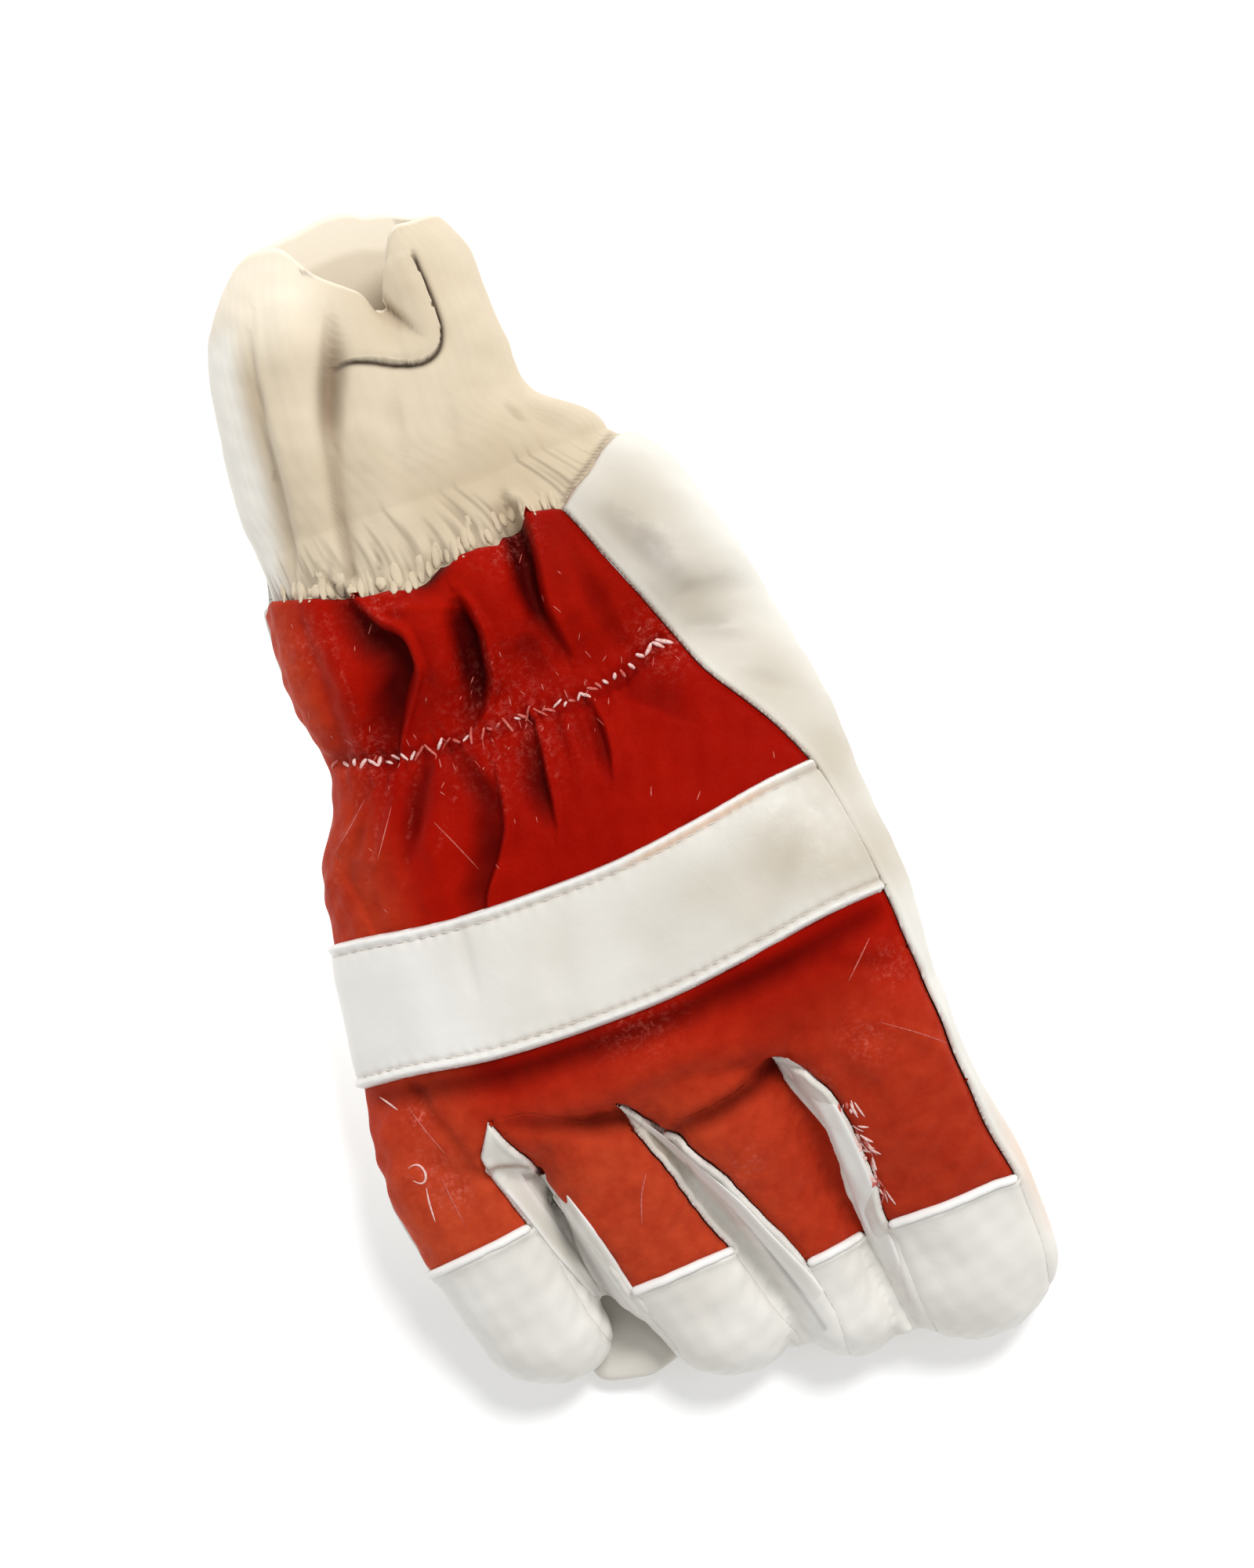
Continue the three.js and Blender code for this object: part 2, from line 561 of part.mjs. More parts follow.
const thumbOnly = (grow) => thumbTube(grow).subtract(join([handTube(-grow), fourFingers(-grow)]));
const thumb = shell.intersect(thumbOnly(-half));
const notPalm = join([
  block(backRows(-0.1, CROTCH_SHARE), half),
  outerStrip("little", half),
  strip("ring", half),
  strip("middle", half),
  outerStrip("index", half),
  ...GUSSETS.map((pair) => gusset(pair, half)),
  thumbOnly(half),
]);
const palm = shell.subtract(notPalm);

// The strap lies over the canvas, from seam to seam, between two edges that sag towards the fingers.
const strapEdges = STRAP_SAG.map(({ across, sag }) => {
  const x = across * HAND_WIDTH;
  const top = STRAP_TOP_Y - sag * STRAP_WIDTH;
  const bottom = top - STRAP_WIDTH;
  return [
    new THREE.Vector3(x, top, -FAR),
    new THREE.Vector3(x, top, FAR),
    new THREE.Vector3(x, bottom, FAR),
    new THREE.Vector3(x, bottom, -FAR),
  ];
});
const strapReach = backRows(handShare(STRAP_TOP_Y + STRAP_WIDTH), handShare(STRAP_TOP_Y - 2 * STRAP_WIDTH));
const strap = handTube(LAYER_GAP + STRAP_WALL)
  .subtract(handTube(LAYER_GAP))
  .intersect(tube(strapEdges))
  .intersect(block(strapReach, -SEAM_GAP));

// The cuff. Its sewn end takes the gathered shape of the hand that it is sewn into, and its mouth is folded.
const cuffCurve = tableCurve(CUFF_SECTIONS);
const mouthCurve = tableCurve(MOUTH, "side");

function cuffRing(share, grow) {
  const at = cuffCurve(share);
  const x = at.across * CUFF_WIDTH;
  const halfWidth = at.halfWidth * CUFF_WIDTH;
  const halfHeight = at.halfHeight * CUFF_THICKNESS + grow;
  const fold = (side) =>
    foldDepth(CUFF_FOLDS, at.across + at.halfWidth * side, share) * CUFF_THICKNESS;
  const section = {
    x,
    z: at.height * CUFF_THICKNESS,
    halfWidth: halfWidth + grow,
    rise: halfHeight,
    drop: halfHeight,
  };
  const y = BACK_EDGE_Y - CUFF_TUCK + share * CUFF_LENGTH;
  const lining = -(LEATHER_WALL + CUFF_GAP) + grow;
  const sewn = handRing(Math.max(0, handShare(y)), lining);
  const free = THREE.MathUtils.smoothstep(share, CUFF_BLEND.from, CUFF_BLEND.to);
  const floor = y > WRIST_Y + CUFF_GAP ? -grow : -lining;
  return ring(0, HAND_POINTS, section, -grow, fold).map((p, i) => {
    const side = THREE.MathUtils.clamp((p.x - x) / halfWidth, -1, 1);
    const short = mouthCurve(side)[i < HAND_POINTS.over ? "over" : "under"];
    p.lerpVectors(sewn[i], p, free);
    return p.set(p.x, y - share * share * short * CUFF_LENGTH, Math.max(p.z, floor));
  });
}

const cuffRings = (grow) => [...CUFF_STATIONS].reverse().map((share) => cuffRing(share, grow));
const cuff = pipe(cuffRings(0), cuffRings(-KNIT_WALL));

// The glove as a scene graph, one named mesh for each piece.
const glove = new THREE.Group();

function add(name, solid, finish) {
  const mesh = panel(solid).getMesh();
  const geometry = new THREE.BufferGeometry();
  geometry.setAttribute("position", new THREE.BufferAttribute(mesh.vertProperties, 3));
  geometry.setIndex(new THREE.BufferAttribute(mesh.triVerts, 1));
  geometry.computeVertexNormals();
  const piece = new THREE.Mesh(geometry, finish);
  piece.name = name;
  glove.add(piece);
}

add("back_hand", backHand, CANVAS);
add("back_ring", fingerBack("ring"), CANVAS);
add("back_middle", fingerBack("middle"), CANVAS);
add("knuckle_strap", strap, LEATHER);
for (const name of fingerNames) {
  add("cap_" + name, cap(name), LEATHER);
  add("welt_" + name, welt(name), LEATHER);
}
for (const pair of GUSSETS) {
  add("fourchette_" + pair.join("_"), shell.intersect(gusset(pair, -half)), LEATHER);
}
add("palm", palm, LEATHER);
add("thumb", thumb, LEATHER);
add("knit_cuff", cuff, KNIT);

export default glove;
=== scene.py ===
"""A right-hand work glove lying palm down, of red canvas and white leather, with a cream knit cuff.

The tubes of the hand, the fingers and the thumb are lofted from the same tables as the part and fused into
one skin. The skin is folded and gathered, then cut exactly along the seams into panels, which get rolled
edges, thickness, stitches and their own materials. Tables and sizes are millimetres, or shares of named
sizes.
"""
import math

import bpy
import numpy as np
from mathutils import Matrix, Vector
from mathutils.bvhtree import BVHTree
from mathutils.kdtree import KDTree


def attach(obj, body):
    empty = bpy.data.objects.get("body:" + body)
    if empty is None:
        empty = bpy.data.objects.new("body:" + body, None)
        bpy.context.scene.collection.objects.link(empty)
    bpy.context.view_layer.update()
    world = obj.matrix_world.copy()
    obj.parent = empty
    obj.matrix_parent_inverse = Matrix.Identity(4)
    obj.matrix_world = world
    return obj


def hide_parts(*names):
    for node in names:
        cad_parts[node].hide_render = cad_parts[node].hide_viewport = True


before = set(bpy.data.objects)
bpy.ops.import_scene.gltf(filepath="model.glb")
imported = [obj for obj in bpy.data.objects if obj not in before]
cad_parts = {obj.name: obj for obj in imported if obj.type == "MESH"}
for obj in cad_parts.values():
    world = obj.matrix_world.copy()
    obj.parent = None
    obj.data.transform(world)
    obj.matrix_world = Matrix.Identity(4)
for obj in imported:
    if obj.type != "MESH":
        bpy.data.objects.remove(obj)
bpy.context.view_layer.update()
MM = 0.001

# Driving sizes, as in the part.
HAND_LENGTH = 136
HAND_WIDTH = 122
HAND_THICKNESS = 40
PALM_HEIGHT = 34
WRIST_Y = 70.5
KNUCKLE_SHARE = 0.882
FINGER_THICKNESS = 26
FINGER_LENGTH = {
    "little": 59.8,
    "ring": 71.3,
    "middle": 76.3,
    "index": 82,
}
THUMB_LENGTH = 108
THUMB_WIDTH = 34
THUMB_THICKNESS = 26
THUMB_START = 0.17
CUFF_LENGTH = 82
CUFF_WIDTH = 80
CUFF_THICKNESS = 40
CUFF_TUCK = 8
BACK_EDGE_Y = 57
LEATHER_WALL = 1.8
KNIT_WALL = 2.6
CUFF_GAP = 0.6
STRAP_TOP_Y = -7.6
STRAP_WIDTH = 30

# The meshes: points around and rings along each tube, and the size of the fused skin's cells.
HAND_POINTS = 220
HAND_RINGS = 150
DIGIT_POINTS = 72
DIGIT_RINGS = 90
WEB_POINTS = 40
WEB_RINGS = 60
CUFF_RINGS = 150
CUFF_POINTS = 310
VOXEL = 0.85
# How square the tubes' sections are. A value of 2 makes an ellipse.
HAND_SQUARENESS = 2.4
DIGIT_SQUARENESS = 2.3
# How far a digit's tip runs on past its last section, as a share of that section's half width.
TIP_ROUNDING = 0.86

# Sections of the hand: along, across, half width, height, rise, drop and roll.
HAND_SECTIONS = [
    (0, -0.018, 0.33, 0.56, 0.49, 0.54, 0),
    (0.059, 0.01, 0.359, 0.6, 0.54, 0.58, 0),
    (0.147, 0.023, 0.381, 0.67, 0.605, 0.64, 0.5),
    (0.235, 0.036, 0.394, 0.7, 0.605, 0.67, 1),
    (0.338, 0.053, 0.397, 0.69, 0.5, 0.63, 2),
    (0.397, 0.048, 0.414, 0.735, 0.54, 0.56, 4),
    (0.478, 0.029, 0.449, 0.79, 0.55, 0.5, 7),
    (0.574, 0.022, 0.464, 0.85, 0.54, 0.46, 10),
    (0.691, 0.015, 0.478, 0.925, 0.49, 0.41, 12.5),
    (0.794, 0.007, 0.493, 0.985, 0.45, 0.375, 13),
    (0.882, -0.009, 0.5, 1.015, 0.425, 0.35, 12),
    (0.934, -0.013, 0.496, 1.015, 0.375, 0.325, 11),
    (0.971, -0.014, 0.478, 1, 0.275, 0.25, 10),
    (1, -0.016, 0.426, 0.985, 0.125, 0.125, 9),
]
# Sections of the fingers: along, across, half width, height and half height.
FINGER_SECTIONS = {
    "little": [
        (0, -0.382, 0.11, 0.72, 0.42), (0.2, -0.384, 0.123, 0.69, 0.46), (0.42, -0.371, 0.119, 0.6, 0.46),
        (0.7, -0.355, 0.109, 0.44, 0.44), (1, -0.325, 0.1, 0.29, 0.42),
    ],
    "ring": [
        (0, -0.166, 0.089, 0.9, 0.44), (0.17, -0.156, 0.0955, 0.89, 0.49),
        (0.35, -0.138, 0.1045, 0.8, 0.48), (0.59, -0.113, 0.1225, 0.57, 0.46),
        (0.77, -0.068, 0.108, 0.41, 0.44), (1, -0.038, 0.1, 0.29, 0.42),
    ],
    "middle": [
        (0, 0.058, 0.105, 1.06, 0.46), (0.157, 0.062, 0.1127, 1.06, 0.51),
        (0.33, 0.084, 0.1078, 0.97, 0.49), (0.55, 0.109, 0.09, 0.7, 0.47), (0.76, 0.13, 0.08, 0.46, 0.45),
        (1, 0.149, 0.07, 0.29, 0.42),
    ],
    "index": [
        (0, 0.33, 0.14, 1.25, 0.48), (0.146, 0.332, 0.1475, 1.24, 0.53), (0.3, 0.341, 0.1393, 1.13, 0.52),
        (0.51, 0.355, 0.1459, 0.85, 0.5), (0.7, 0.366, 0.1475, 0.58, 0.48), (1, 0.369, 0.13, 0.305, 0.44),
    ],
}
THUMB_SECTIONS = [
    (0, 0.24, 0.34, 0.8, 0.4),
    (0.14, 0.27, 0.47, 0.7, 0.52),
    (0.33, 0.305, 0.5, 0.57, 0.52),
    (0.52, 0.305, 0.48, 0.49, 0.49),
    (0.7, 0.28, 0.45, 0.42, 0.45),
    (0.86, 0.24, 0.42, 0.38, 0.41),
    (1, 0.2, 0.38, 0.34, 0.37),
]
# Sections of the cuff: along, across, half width, height and half height.
CUFF_SECTIONS = [
    (0, 0, 0.49, 0.45, 0.46),
    (0.25, -0.026, 0.465, 0.44, 0.47),
    (0.33, -0.068, 0.445, 0.43, 0.48),
    (0.46, -0.105, 0.4, 0.42, 0.485),
    (0.61, -0.095, 0.39, 0.4, 0.465),
    (0.76, -0.088, 0.375, 0.375, 0.435),
    (0.9, -0.07, 0.35, 0.34, 0.4),
    (1, -0.058, 0.3, 0.31, 0.37),
]
# The mouth's edge: side, and how far its top and its lower edge fall short, in shares of the cuff's length.
MOUTH = [
    (-1, 0.1, 0.1),
    (-0.75, 0.04, 0.03),
    (-0.5, 0.035, 0.015),
    (-0.34, 0.06, 0.012),
    (-0.225, 0.12, 0.01),
    (0.1, 0.215, 0),
    (0.29, 0.275, 0.01),
    (0.4, 0.2, 0.03),
    (0.54, 0.115, 0.04),
    (0.8, 0.1, 0.08),
    (1, 0.1, 0.1),
]


def curve(rows, t):
    """Every column of a table at the places t, smooth through its rows."""
    table = np.array(rows, float)
    x, y = table[:, 0], table[:, 1:]
    slope = np.gradient(y, x, axis=0)
    t = np.clip(np.asarray(t, float), x[0], x[-1])
    i = np.clip(np.searchsorted(x, t, side="right") - 1, 0, len(x) - 2)
    h = (x[i + 1] - x[i])[..., None]
    u = ((t - x[i])[..., None]) / h
    a = (1 + 2 * u) * (1 - u) ** 2 * y[i] + u * (1 - u) ** 2 * h * slope[i]
    b = u * u * (3 - 2 * u) * y[i + 1] + u * u * (u - 1) * h * slope[i + 1]
    return np.moveaxis(a + b, -1, 0)


def smoothstep(x, low, high):
    """0 up to low, 1 from high on, and a soft rise between them."""
    t = np.clip((x - low) / (high - low), 0, 1)
    return t * t * (3 - 2 * t)


def unit(rows):
    """The rows as unit vectors."""
    return rows / np.maximum(np.linalg.norm(rows, axis=1, keepdims=True), 1e-12)


def rounded(points, rounds):
    """The points of a line, averaged with their neighbours, between ends that stay."""
    for _ in range(rounds):
        points[1:-1] = (points[:-2] + 2 * points[1:-1] + points[2:]) / 4
    return points


def lengths_along(points):
    """The length of a line up to each of its points."""
    return np.concatenate([[0], np.cumsum(np.linalg.norm(np.diff(points, axis=0), axis=1))])


def hand_y(share):
    """The y at a share of the hand's length."""
    return WRIST_Y - share * HAND_LENGTH


def hand_share(y):
    """The share of the hand's length at y."""
    return (WRIST_Y - y) / HAND_LENGTH


def ring(y, count, x, z, half_width, rise, drop, roll=0.0, squareness=HAND_SQUARENESS, floor=0.0):
    """One closed section, as an array of count points."""
    turn = 2 * np.pi * np.arange(count) / count
    side = np.cos(turn)
    bow = np.clip(1 - np.abs(side) ** squareness, 0, 1) ** (1 / squareness)
    up = np.where(np.sin(turn) >= 0, rise, -drop) * bow
    cos, sin = math.cos(math.radians(roll)), math.sin(math.radians(roll))
    px = x + half_width * side * cos - up * sin
    pz = z + half_width * side * sin + up * cos
    return np.stack([px, np.full(count, y), np.maximum(pz, floor)], 1)


def hand_ring(share, grow, count):
    """The hand's section at a share of its length, grown outwards by grow."""
    across, half, height, rise, drop, roll = curve(HAND_SECTIONS, share)
    return ring(
        hand_y(share), count, across * HAND_WIDTH, height * PALM_HEIGHT, half * HAND_WIDTH + grow,
        rise * HAND_THICKNESS + grow, drop * HAND_THICKNESS + grow, roll, floor=max(0, -grow),
    )


def finger_at(name, share):
    """A finger's place: y, x, z, half width and half height."""
    across, half, height, half_height = curve(FINGER_SECTIONS[name], share)
    y = hand_y(KNUCKLE_SHARE) - share * FINGER_LENGTH[name]
    return y, across * HAND_WIDTH, height * PALM_HEIGHT, half * HAND_WIDTH, half_height * FINGER_THICKNESS


def thumb_at(share):
    """The thumb's place: y, x, z, half width and half height."""
    across, half, height, half_height = curve(THUMB_SECTIONS, share)
    y = hand_y(THUMB_START) - share * THUMB_LENGTH
    return y, across * HAND_WIDTH, height * THUMB_THICKNESS, half * THUMB_WIDTH, half_height * THUMB_THICKNESS


def digit_rings(place):
    """The rings of a finger or of the thumb, with a round tip."""
    tip = place(1.0)
    rounding = TIP_ROUNDING * tip[3]
    rings = []
    for share in 1 - (1 - np.linspace(0, 1, DIGIT_RINGS)) ** 1.7:
        y, x, z, half, half_height = place(share)
        back = np.clip((tip[0] + rounding - y) / rounding, 0, 0.996)
        shrink = math.sqrt(1 - back * back)
        tall = half_height * shrink
        rings.append(ring(y, DIGIT_POINTS, x, z, half * shrink, tall, tall, squareness=DIGIT_SQUARENESS))
    return rings


def new_mesh(name, points, faces):
    """A smoothly shaded mesh of points in millimetres."""
    mesh = bpy.data.meshes.new(name)
    places = [tuple(p) for p in np.asarray(points) * MM]
    mesh.from_pydata(places, [], [tuple(int(i) for i in f) for f in faces])
    mesh.update()
    mesh.shade_smooth()
    return mesh


def new_object(name, data):
    """An object in the scene that holds a mesh, a lamp or a camera."""
    obj = bpy.data.objects.new(name, data)
    bpy.context.scene.collection.objects.link(obj)
    return obj


def closed_tube(rings):
    """Points and faces of a tube closed at both ends."""
    count = len(rings[0])
    points = [*np.concatenate(rings), rings[0].mean(0), rings[-1].mean(0)]
    first, last = len(points) - 2, len(points) - 1
    faces = []
    for i in range(len(rings) - 1):
        for j in range(count):
            k = (j + 1) % count
            faces.append((i * count + j, i * count + k, (i + 1) * count + k, (i + 1) * count + j))
    end = (len(rings) - 1) * count
    for j in range(count):
        k = (j + 1) % count
        faces.append((first, k, j))
        faces.append((last, end + j, end + k))
    return points, faces


# The webs of leather between the fingers: the two fingers, and the height of the web's top up the lower one.
WEBS = [("little", "ring", 0.3), ("ring", "middle", 0.5), ("middle", "index", 0.62)]
WEB_START = 0.04
WEB_GAP = 2.4
WEB_HALF_WIDTH = 3.6


def web_rings(left, right, top):
    """A low wall that fills the cleft between two fingers as far down as they touch."""
    rings = []
    for share in np.linspace(WEB_START, 0.98, WEB_RINGS):
        y, x, z, half, half_height = finger_at(left, share)
        reach = (hand_y(KNUCKLE_SHARE) - y) / FINGER_LENGTH[right]
        _, x2, z2, half2, half_height2 = finger_at(right, min(1, reach))
        gap = (x2 - half2) - (x + half)
        if gap > WEB_GAP and len(rings) > 3:
            break
        low, tall = min((z, half_height), (z2, half_height2))
        middle = (x + half + x2 - half2) / 2
        rings.append(ring(
            y, WEB_POINTS, middle, low - 0.1 * tall, WEB_HALF_WIDTH,
            (top + 0.1) * tall, 0.5 * tall, squareness=2.0,
        ))
    return rings


# How far the hand's tube runs on under the cuff.
WRIST_RUN_ON = 8


def fused_skin():
    """All the tubes as one evenly meshed skin: points in millimetres and triangles."""
    hand = [hand_ring(share, 0, HAND_POINTS) for share in np.linspace(0, 1, HAND_RINGS)]
    tubes = [[hand[0] + (0, WRIST_RUN_ON, 0), *hand]]
    tubes += [digit_rings(lambda s, n=name: finger_at(n, s)) for name in FINGER_SECTIONS]
    tubes.append(digit_rings(thumb_at))
    tubes += [web_rings(*pair) for pair in WEBS]
    points, faces = [], []
    for rings in tubes:
        p, f = closed_tube(rings)
        faces += [tuple(i + len(points) for i in face) for face in f]
        points += list(p)
    blank = new_object("blank", new_mesh("blank", points, faces))
    remesh = blank.modifiers.new("fuse", "REMESH")
    remesh.mode = "VOXEL"
    remesh.voxel_size = VOXEL * MM
    fused = bpy.data.meshes.new_from_object(blank.evaluated_get(bpy.context.evaluated_depsgraph_get()))
    fused.calc_loop_triangles()
    verts = np.empty(len(fused.vertices) * 3)
    fused.vertices.foreach_get("co", verts)
    tris = np.empty(len(fused.loop_triangles) * 3, np.int32)
    fused.loop_triangles.foreach_get("vertices", tris)
    bpy.data.objects.remove(blank)
    return verts.reshape(-1, 3) / MM, tris.reshape(-1, 3)


def sides_of(tris):
    """The three sides of every triangle, as vertex pairs: all first sides, then all second and third ones."""
    return np.concatenate([tris[:, [0, 1]], tris[:, [1, 2]], tris[:, [2, 0]]])


# Smoothing takes turns of shrinking and swelling by these shares, so that the whole keeps its size.
SHRINK = 0.5
SWELL = -0.52


def smoothed(values, tris, rounds):
    """Values at the vertices, or the vertices themselves, smoothed without shrinking."""
    a, b = np.unique(np.sort(sides_of(tris), axis=1), axis=0).T
    flat = values.reshape(len(values), -1).copy()
    degree = np.bincount(np.concatenate([a, b]), minlength=len(flat))[:, None]
    for step in range(2 * rounds):
        total = np.stack([
            np.bincount(a, flat[b, k], len(flat)) + np.bincount(b, flat[a, k], len(flat))
            for k in range(flat.shape[1])
        ], 1)
        flat += (SHRINK if step % 2 == 0 else SWELL) * (total / np.maximum(degree, 1) - flat)
    return flat.reshape(values.shape)


def normals_of(verts, tris):
    """The unit normal at every vertex."""
    face = np.cross(verts[tris[:, 1]] - verts[tris[:, 0]], verts[tris[:, 2]] - verts[tris[:, 0]])
    out = np.zeros_like(verts)
    for k in range(3):
        for c in range(3):
            out[:, c] += np.bincount(tris[:, k], face[:, c], len(verts))
    return unit(out)


# Folds: depth, width on the left and on the right of the course, lip, and the course as [x, y, share].
# A fold that runs down the glove has the thumb's side on its left. A negative depth is a ridge.
CANVAS_FOLDS = [
    (3.8, 1.2, 6.5, 0.45, [
        (-26.5, 58, 0.5), (-25, 53, 0.8), (-22.5, 47.5, 1), (-19, 44.5, 1), (-19, 38, 1),
        (-23.5, 31.5, 0.8), (-27.5, 25, 0.5), (-30, 21, 0.2),
    ]),
    (-1.3, 3.6, 3.6, 0, [(-32, 58, 0.6), (-32.5, 45, 1), (-34, 30, 0.6)]),
    (0.9, 1.8, 1.8, 0, [(-36.5, 54, 0.4), (-35.8, 40, 1), (-37.4, 27, 0.8)]),
    (-0.9, 2.6, 2.6, 0, [(-40, 58, 0.6), (-40.6, 45, 1), (-40.4, 30, 0.6)]),
    (5.3, 1.5, 4.4, 0.3, [
        (-5.2, 49, 0.1), (-5, 45, 0.7), (-4.8, 40, 1), (-5.6, 35, 1), (-6.4, 30, 0.9), (-8.8, 26, 0.55),
        (-13, 22.5, 0.2),
    ]),
    (5.4, 1.5, 3.4, 0.3, [
        (11.6, 61, 1), (11.6, 55, 1), (11, 50, 1), (10.1, 45, 0.9), (9.8, 40, 0.7), (10.6, 35, 0.4),
        (11.4, 29, 0.15),
    ]),
    (1.0, 2.4, 2.4, 0, [(20, 48, 0.3), (21.4, 38, 1), (22, 28, 0.6)]),
    (-0.8, 3, 3, 0, [(16.5, 56, 0.6), (16, 42, 1), (15.5, 30, 0.5)]),
    (-1.8, 4, 4, 0, [(-15, 50, 0.5), (-12.6, 42, 1), (-12.8, 34, 1), (-16.5, 27, 0.5)]),
    (-1.6, 4, 4, 0, [(0, 56, 0.6), (1.5, 46, 1), (1.6, 38, 0.6)]),
    (1.1, 3, 3, 0, [(5.6, 37, 0.5), (5, 33, 1), (4.6, 29, 0.5)]),
    (2.2, 2.4, 2.4, 0, [(-13.5, 56, 0.5), (-9.5, 55, 1), (-5.6, 57, 0.9)]),
    (-0.9, 1.2, 1.6, 0, [(-22, 51.5, 0.3), (-14, 49.4, 1), (-7.5, 47.4, 0.8)]),
    (1.1, 1.5, 1.5, 0, [
        (-43, 27, 1), (-34, 24, 1), (-26, 22, 1), (-10, 20.8, 1), (10, 20.6, 1), (20, 21.6, 1),
        (31, 25.4, 1),
    ]),
    (2.1, 2.6, 2.4, 0.2, [(-22.6, 20, 0.4), (-27, 14, 1), (-31, 7, 0.8), (-34.5, 1, 0.1)]),
    (-1.5, 6, 6, 0, [(-26, 12, 0.4), (-25, 2, 1), (-27, -8, 0.6)]),
    (2.8, 1.1, 6, 0.4, [
        (-10.6, 14, 0.2), (-12.3, 6, 0.6), (-14, 1, 0.9), (-18.5, -5, 1), (-22, -9.5, 0.9), (-23, -13, 0.6),
    ]),
    (1.6, 2.2, 2.6, 0.2, [(-17, 20, 0.6), (-15, 13, 1), (-13.4, 7, 0.5)]),
    (3.4, 1.0, 4, 0.3, [(0, 20, 0.4), (-1, 14, 0.8), (-2.2, 8, 1), (-2.8, 3, 0.8), (-3.6, -3, 0.1)]),
    (2.4, 0.9, 2.6, 0.3, [(12.2, 19, 0.5), (12.4, 13, 1), (11.8, 8, 0.9), (10.6, 2, 0.1)]),
    (0.8, 1.2, 1.2, 0.2, [(4.9, 19, 0.8), (4.3, 13, 1), (4, 8, 0.2)]),
    (0.8, 1.1, 1.3, 0.2, [(8.6, 18.5, 0.8), (8.4, 12, 1), (7.8, 6, 0.2)]),
    (1.2, 5, 1.6, 0.2, [(20, 18.5, 0.7), (25, 14.5, 1), (29.5, 8.6, 0.3)]),
    (-0.9, 1, 1.2, 0, [(-46, 9, 0.5), (-40.5, 13.2, 1), (-35.4, 17.6, 0.5)]),
    (-0.9, 1, 1.4, 0, [(-39.5, 3.6, 0.5), (-35.5, 9, 1), (-31, 15, 0.6)]),
    (1, 2, 2, 0, [(-36, 19, 0.8), (-41, 12, 1), (-46, 3, 0.3)]),
    (0.9, 4, 1.2, 0.2, [(-47, 6, 0.4), (-45, -2, 1), (-44, -10, 0.7)]),
    (1.6, 3, 3.4, 0, [(-56, -41, 0.6), (-30, -46, 1), (0, -47.4, 1), (30, -45, 1), (50, -42, 0.6)]),
    (-1.2, 3.4, 3.4, 0, [(-24, -58, 0.6), (-10, -54.6, 1), (5, -54, 1), (18, -56.6, 1), (28, -62, 0.5)]),
    (1.6, 2.6, 2.6, 0, [(-33, -55, 0.4), (-24, -58.4, 0.9), (-17, -61, 1), (-11.6, -62.4, 0.9)]),
    (1.6, 2.6, 2.6, 0, [(-2, -68.6, 0.7), (7, -67.8, 1), (15, -65.8, 1), (20.6, -63.6, 0.9)]),
    (-0.7, 1.2, 2.4, 0, [(40, -59, 0.3), (50, -66, 1), (58, -76, 0.8)]),
    (0.8, 2.4, 2.4, 0, [(33, -66, 0.6), (38, -74, 1), (39, -86, 0.3)]),
    (0.7, 1.4, 1.4, 0, [(-49.5, -41, 1), (-45.6, -53, 1), (-43.4, -62, 0.6)]),
    (0.8, 2.4, 2, 0, [(40, -48, 0.5), (48, -51, 1), (56, -50, 0.8)]),
]
# Soft dents and creases of the leather, in the same way.
LEATHER_FOLDS = [
    (-1.4, 5, 5, 0, [(37, 62, 0.6), (43, 51, 1), (44, 40, 0.4)]),
    (1.2, 3.4, 3.4, 0, [(30, 54, 0.4), (35, 44, 1), (38, 34, 0.4)]),
    (1, 2.2, 2.6, 0.2, [(37, 26, 0.4), (43, 23.5, 1), (48, 20, 0.4)]),
    (0.8, 2, 2.4, 0.2, [(40, 33, 0.4), (46, 32, 1), (51, 29.5, 0.4)]),
    (0.8, 2.2, 2.6, 0.2, [(43, 14.5, 0.4), (48, 11.5, 1), (52, 8, 0.4)]),
    (0.7, 3.4, 3.4, 0, [(-47, -92, 0.4), (-43, -98, 1), (-40, -105, 0.4)]),
    (0.7, 3.6, 3.6, 0, [(-9, -100, 0.4), (-5, -107, 1), (-1, -115, 0.4)]),
    (0.9, 4.4, 4.4, 0, [(44, -108, 0.4), (49, -114, 1), (51, -122, 0.4)]),
    (0.8, 2.6, 2.6, 0, [(17, -105, 0.4), (20, -112, 1), (22, -118, 0.4)]),
]


def course_of(points):
    """A course as close points, rounded a little, and its direction in plan at each."""
    table = np.array(points, float)
    length = lengths_along(table[:, :2])
    at = np.linspace(0, length[-1], max(8, int(length[-1] / 0.5)))
    course = rounded(np.stack([np.interp(at, length, column) for column in table.T], 1), 10)
    ahead = np.gradient(course[:, :2], axis=0)
    return course, ahead / np.linalg.norm(ahead, axis=1, keepdims=True)


def beside(places, points, reach):
    """Signed distance of the places to a course, positive on its left, with the course's share there."""
    course, ahead = course_of(points)
    off = np.full(len(places), 4.0 * reach)
    share = np.zeros(len(places))
    low, high = course[:, :2].min(0) - reach, course[:, :2].max(0) + reach
    near = np.flatnonzero(np.all((places > low) & (places < high), axis=1))
    if len(near) == 0:
        return off, share
    away = places[near][:, None] - course[None, :, :2]
    gap = (away**2).sum(2)
    best = gap.argmin(1)
    rows = np.arange(len(near))
    side = ahead[best, 0] * away[rows, best, 1] - ahead[best, 1] * away[rows, best, 0]
    off[near] = np.sqrt(gap[rows, best]) * np.where(side < 0, -1, 1)
    share[near] = course[best, 2]
    return off, share


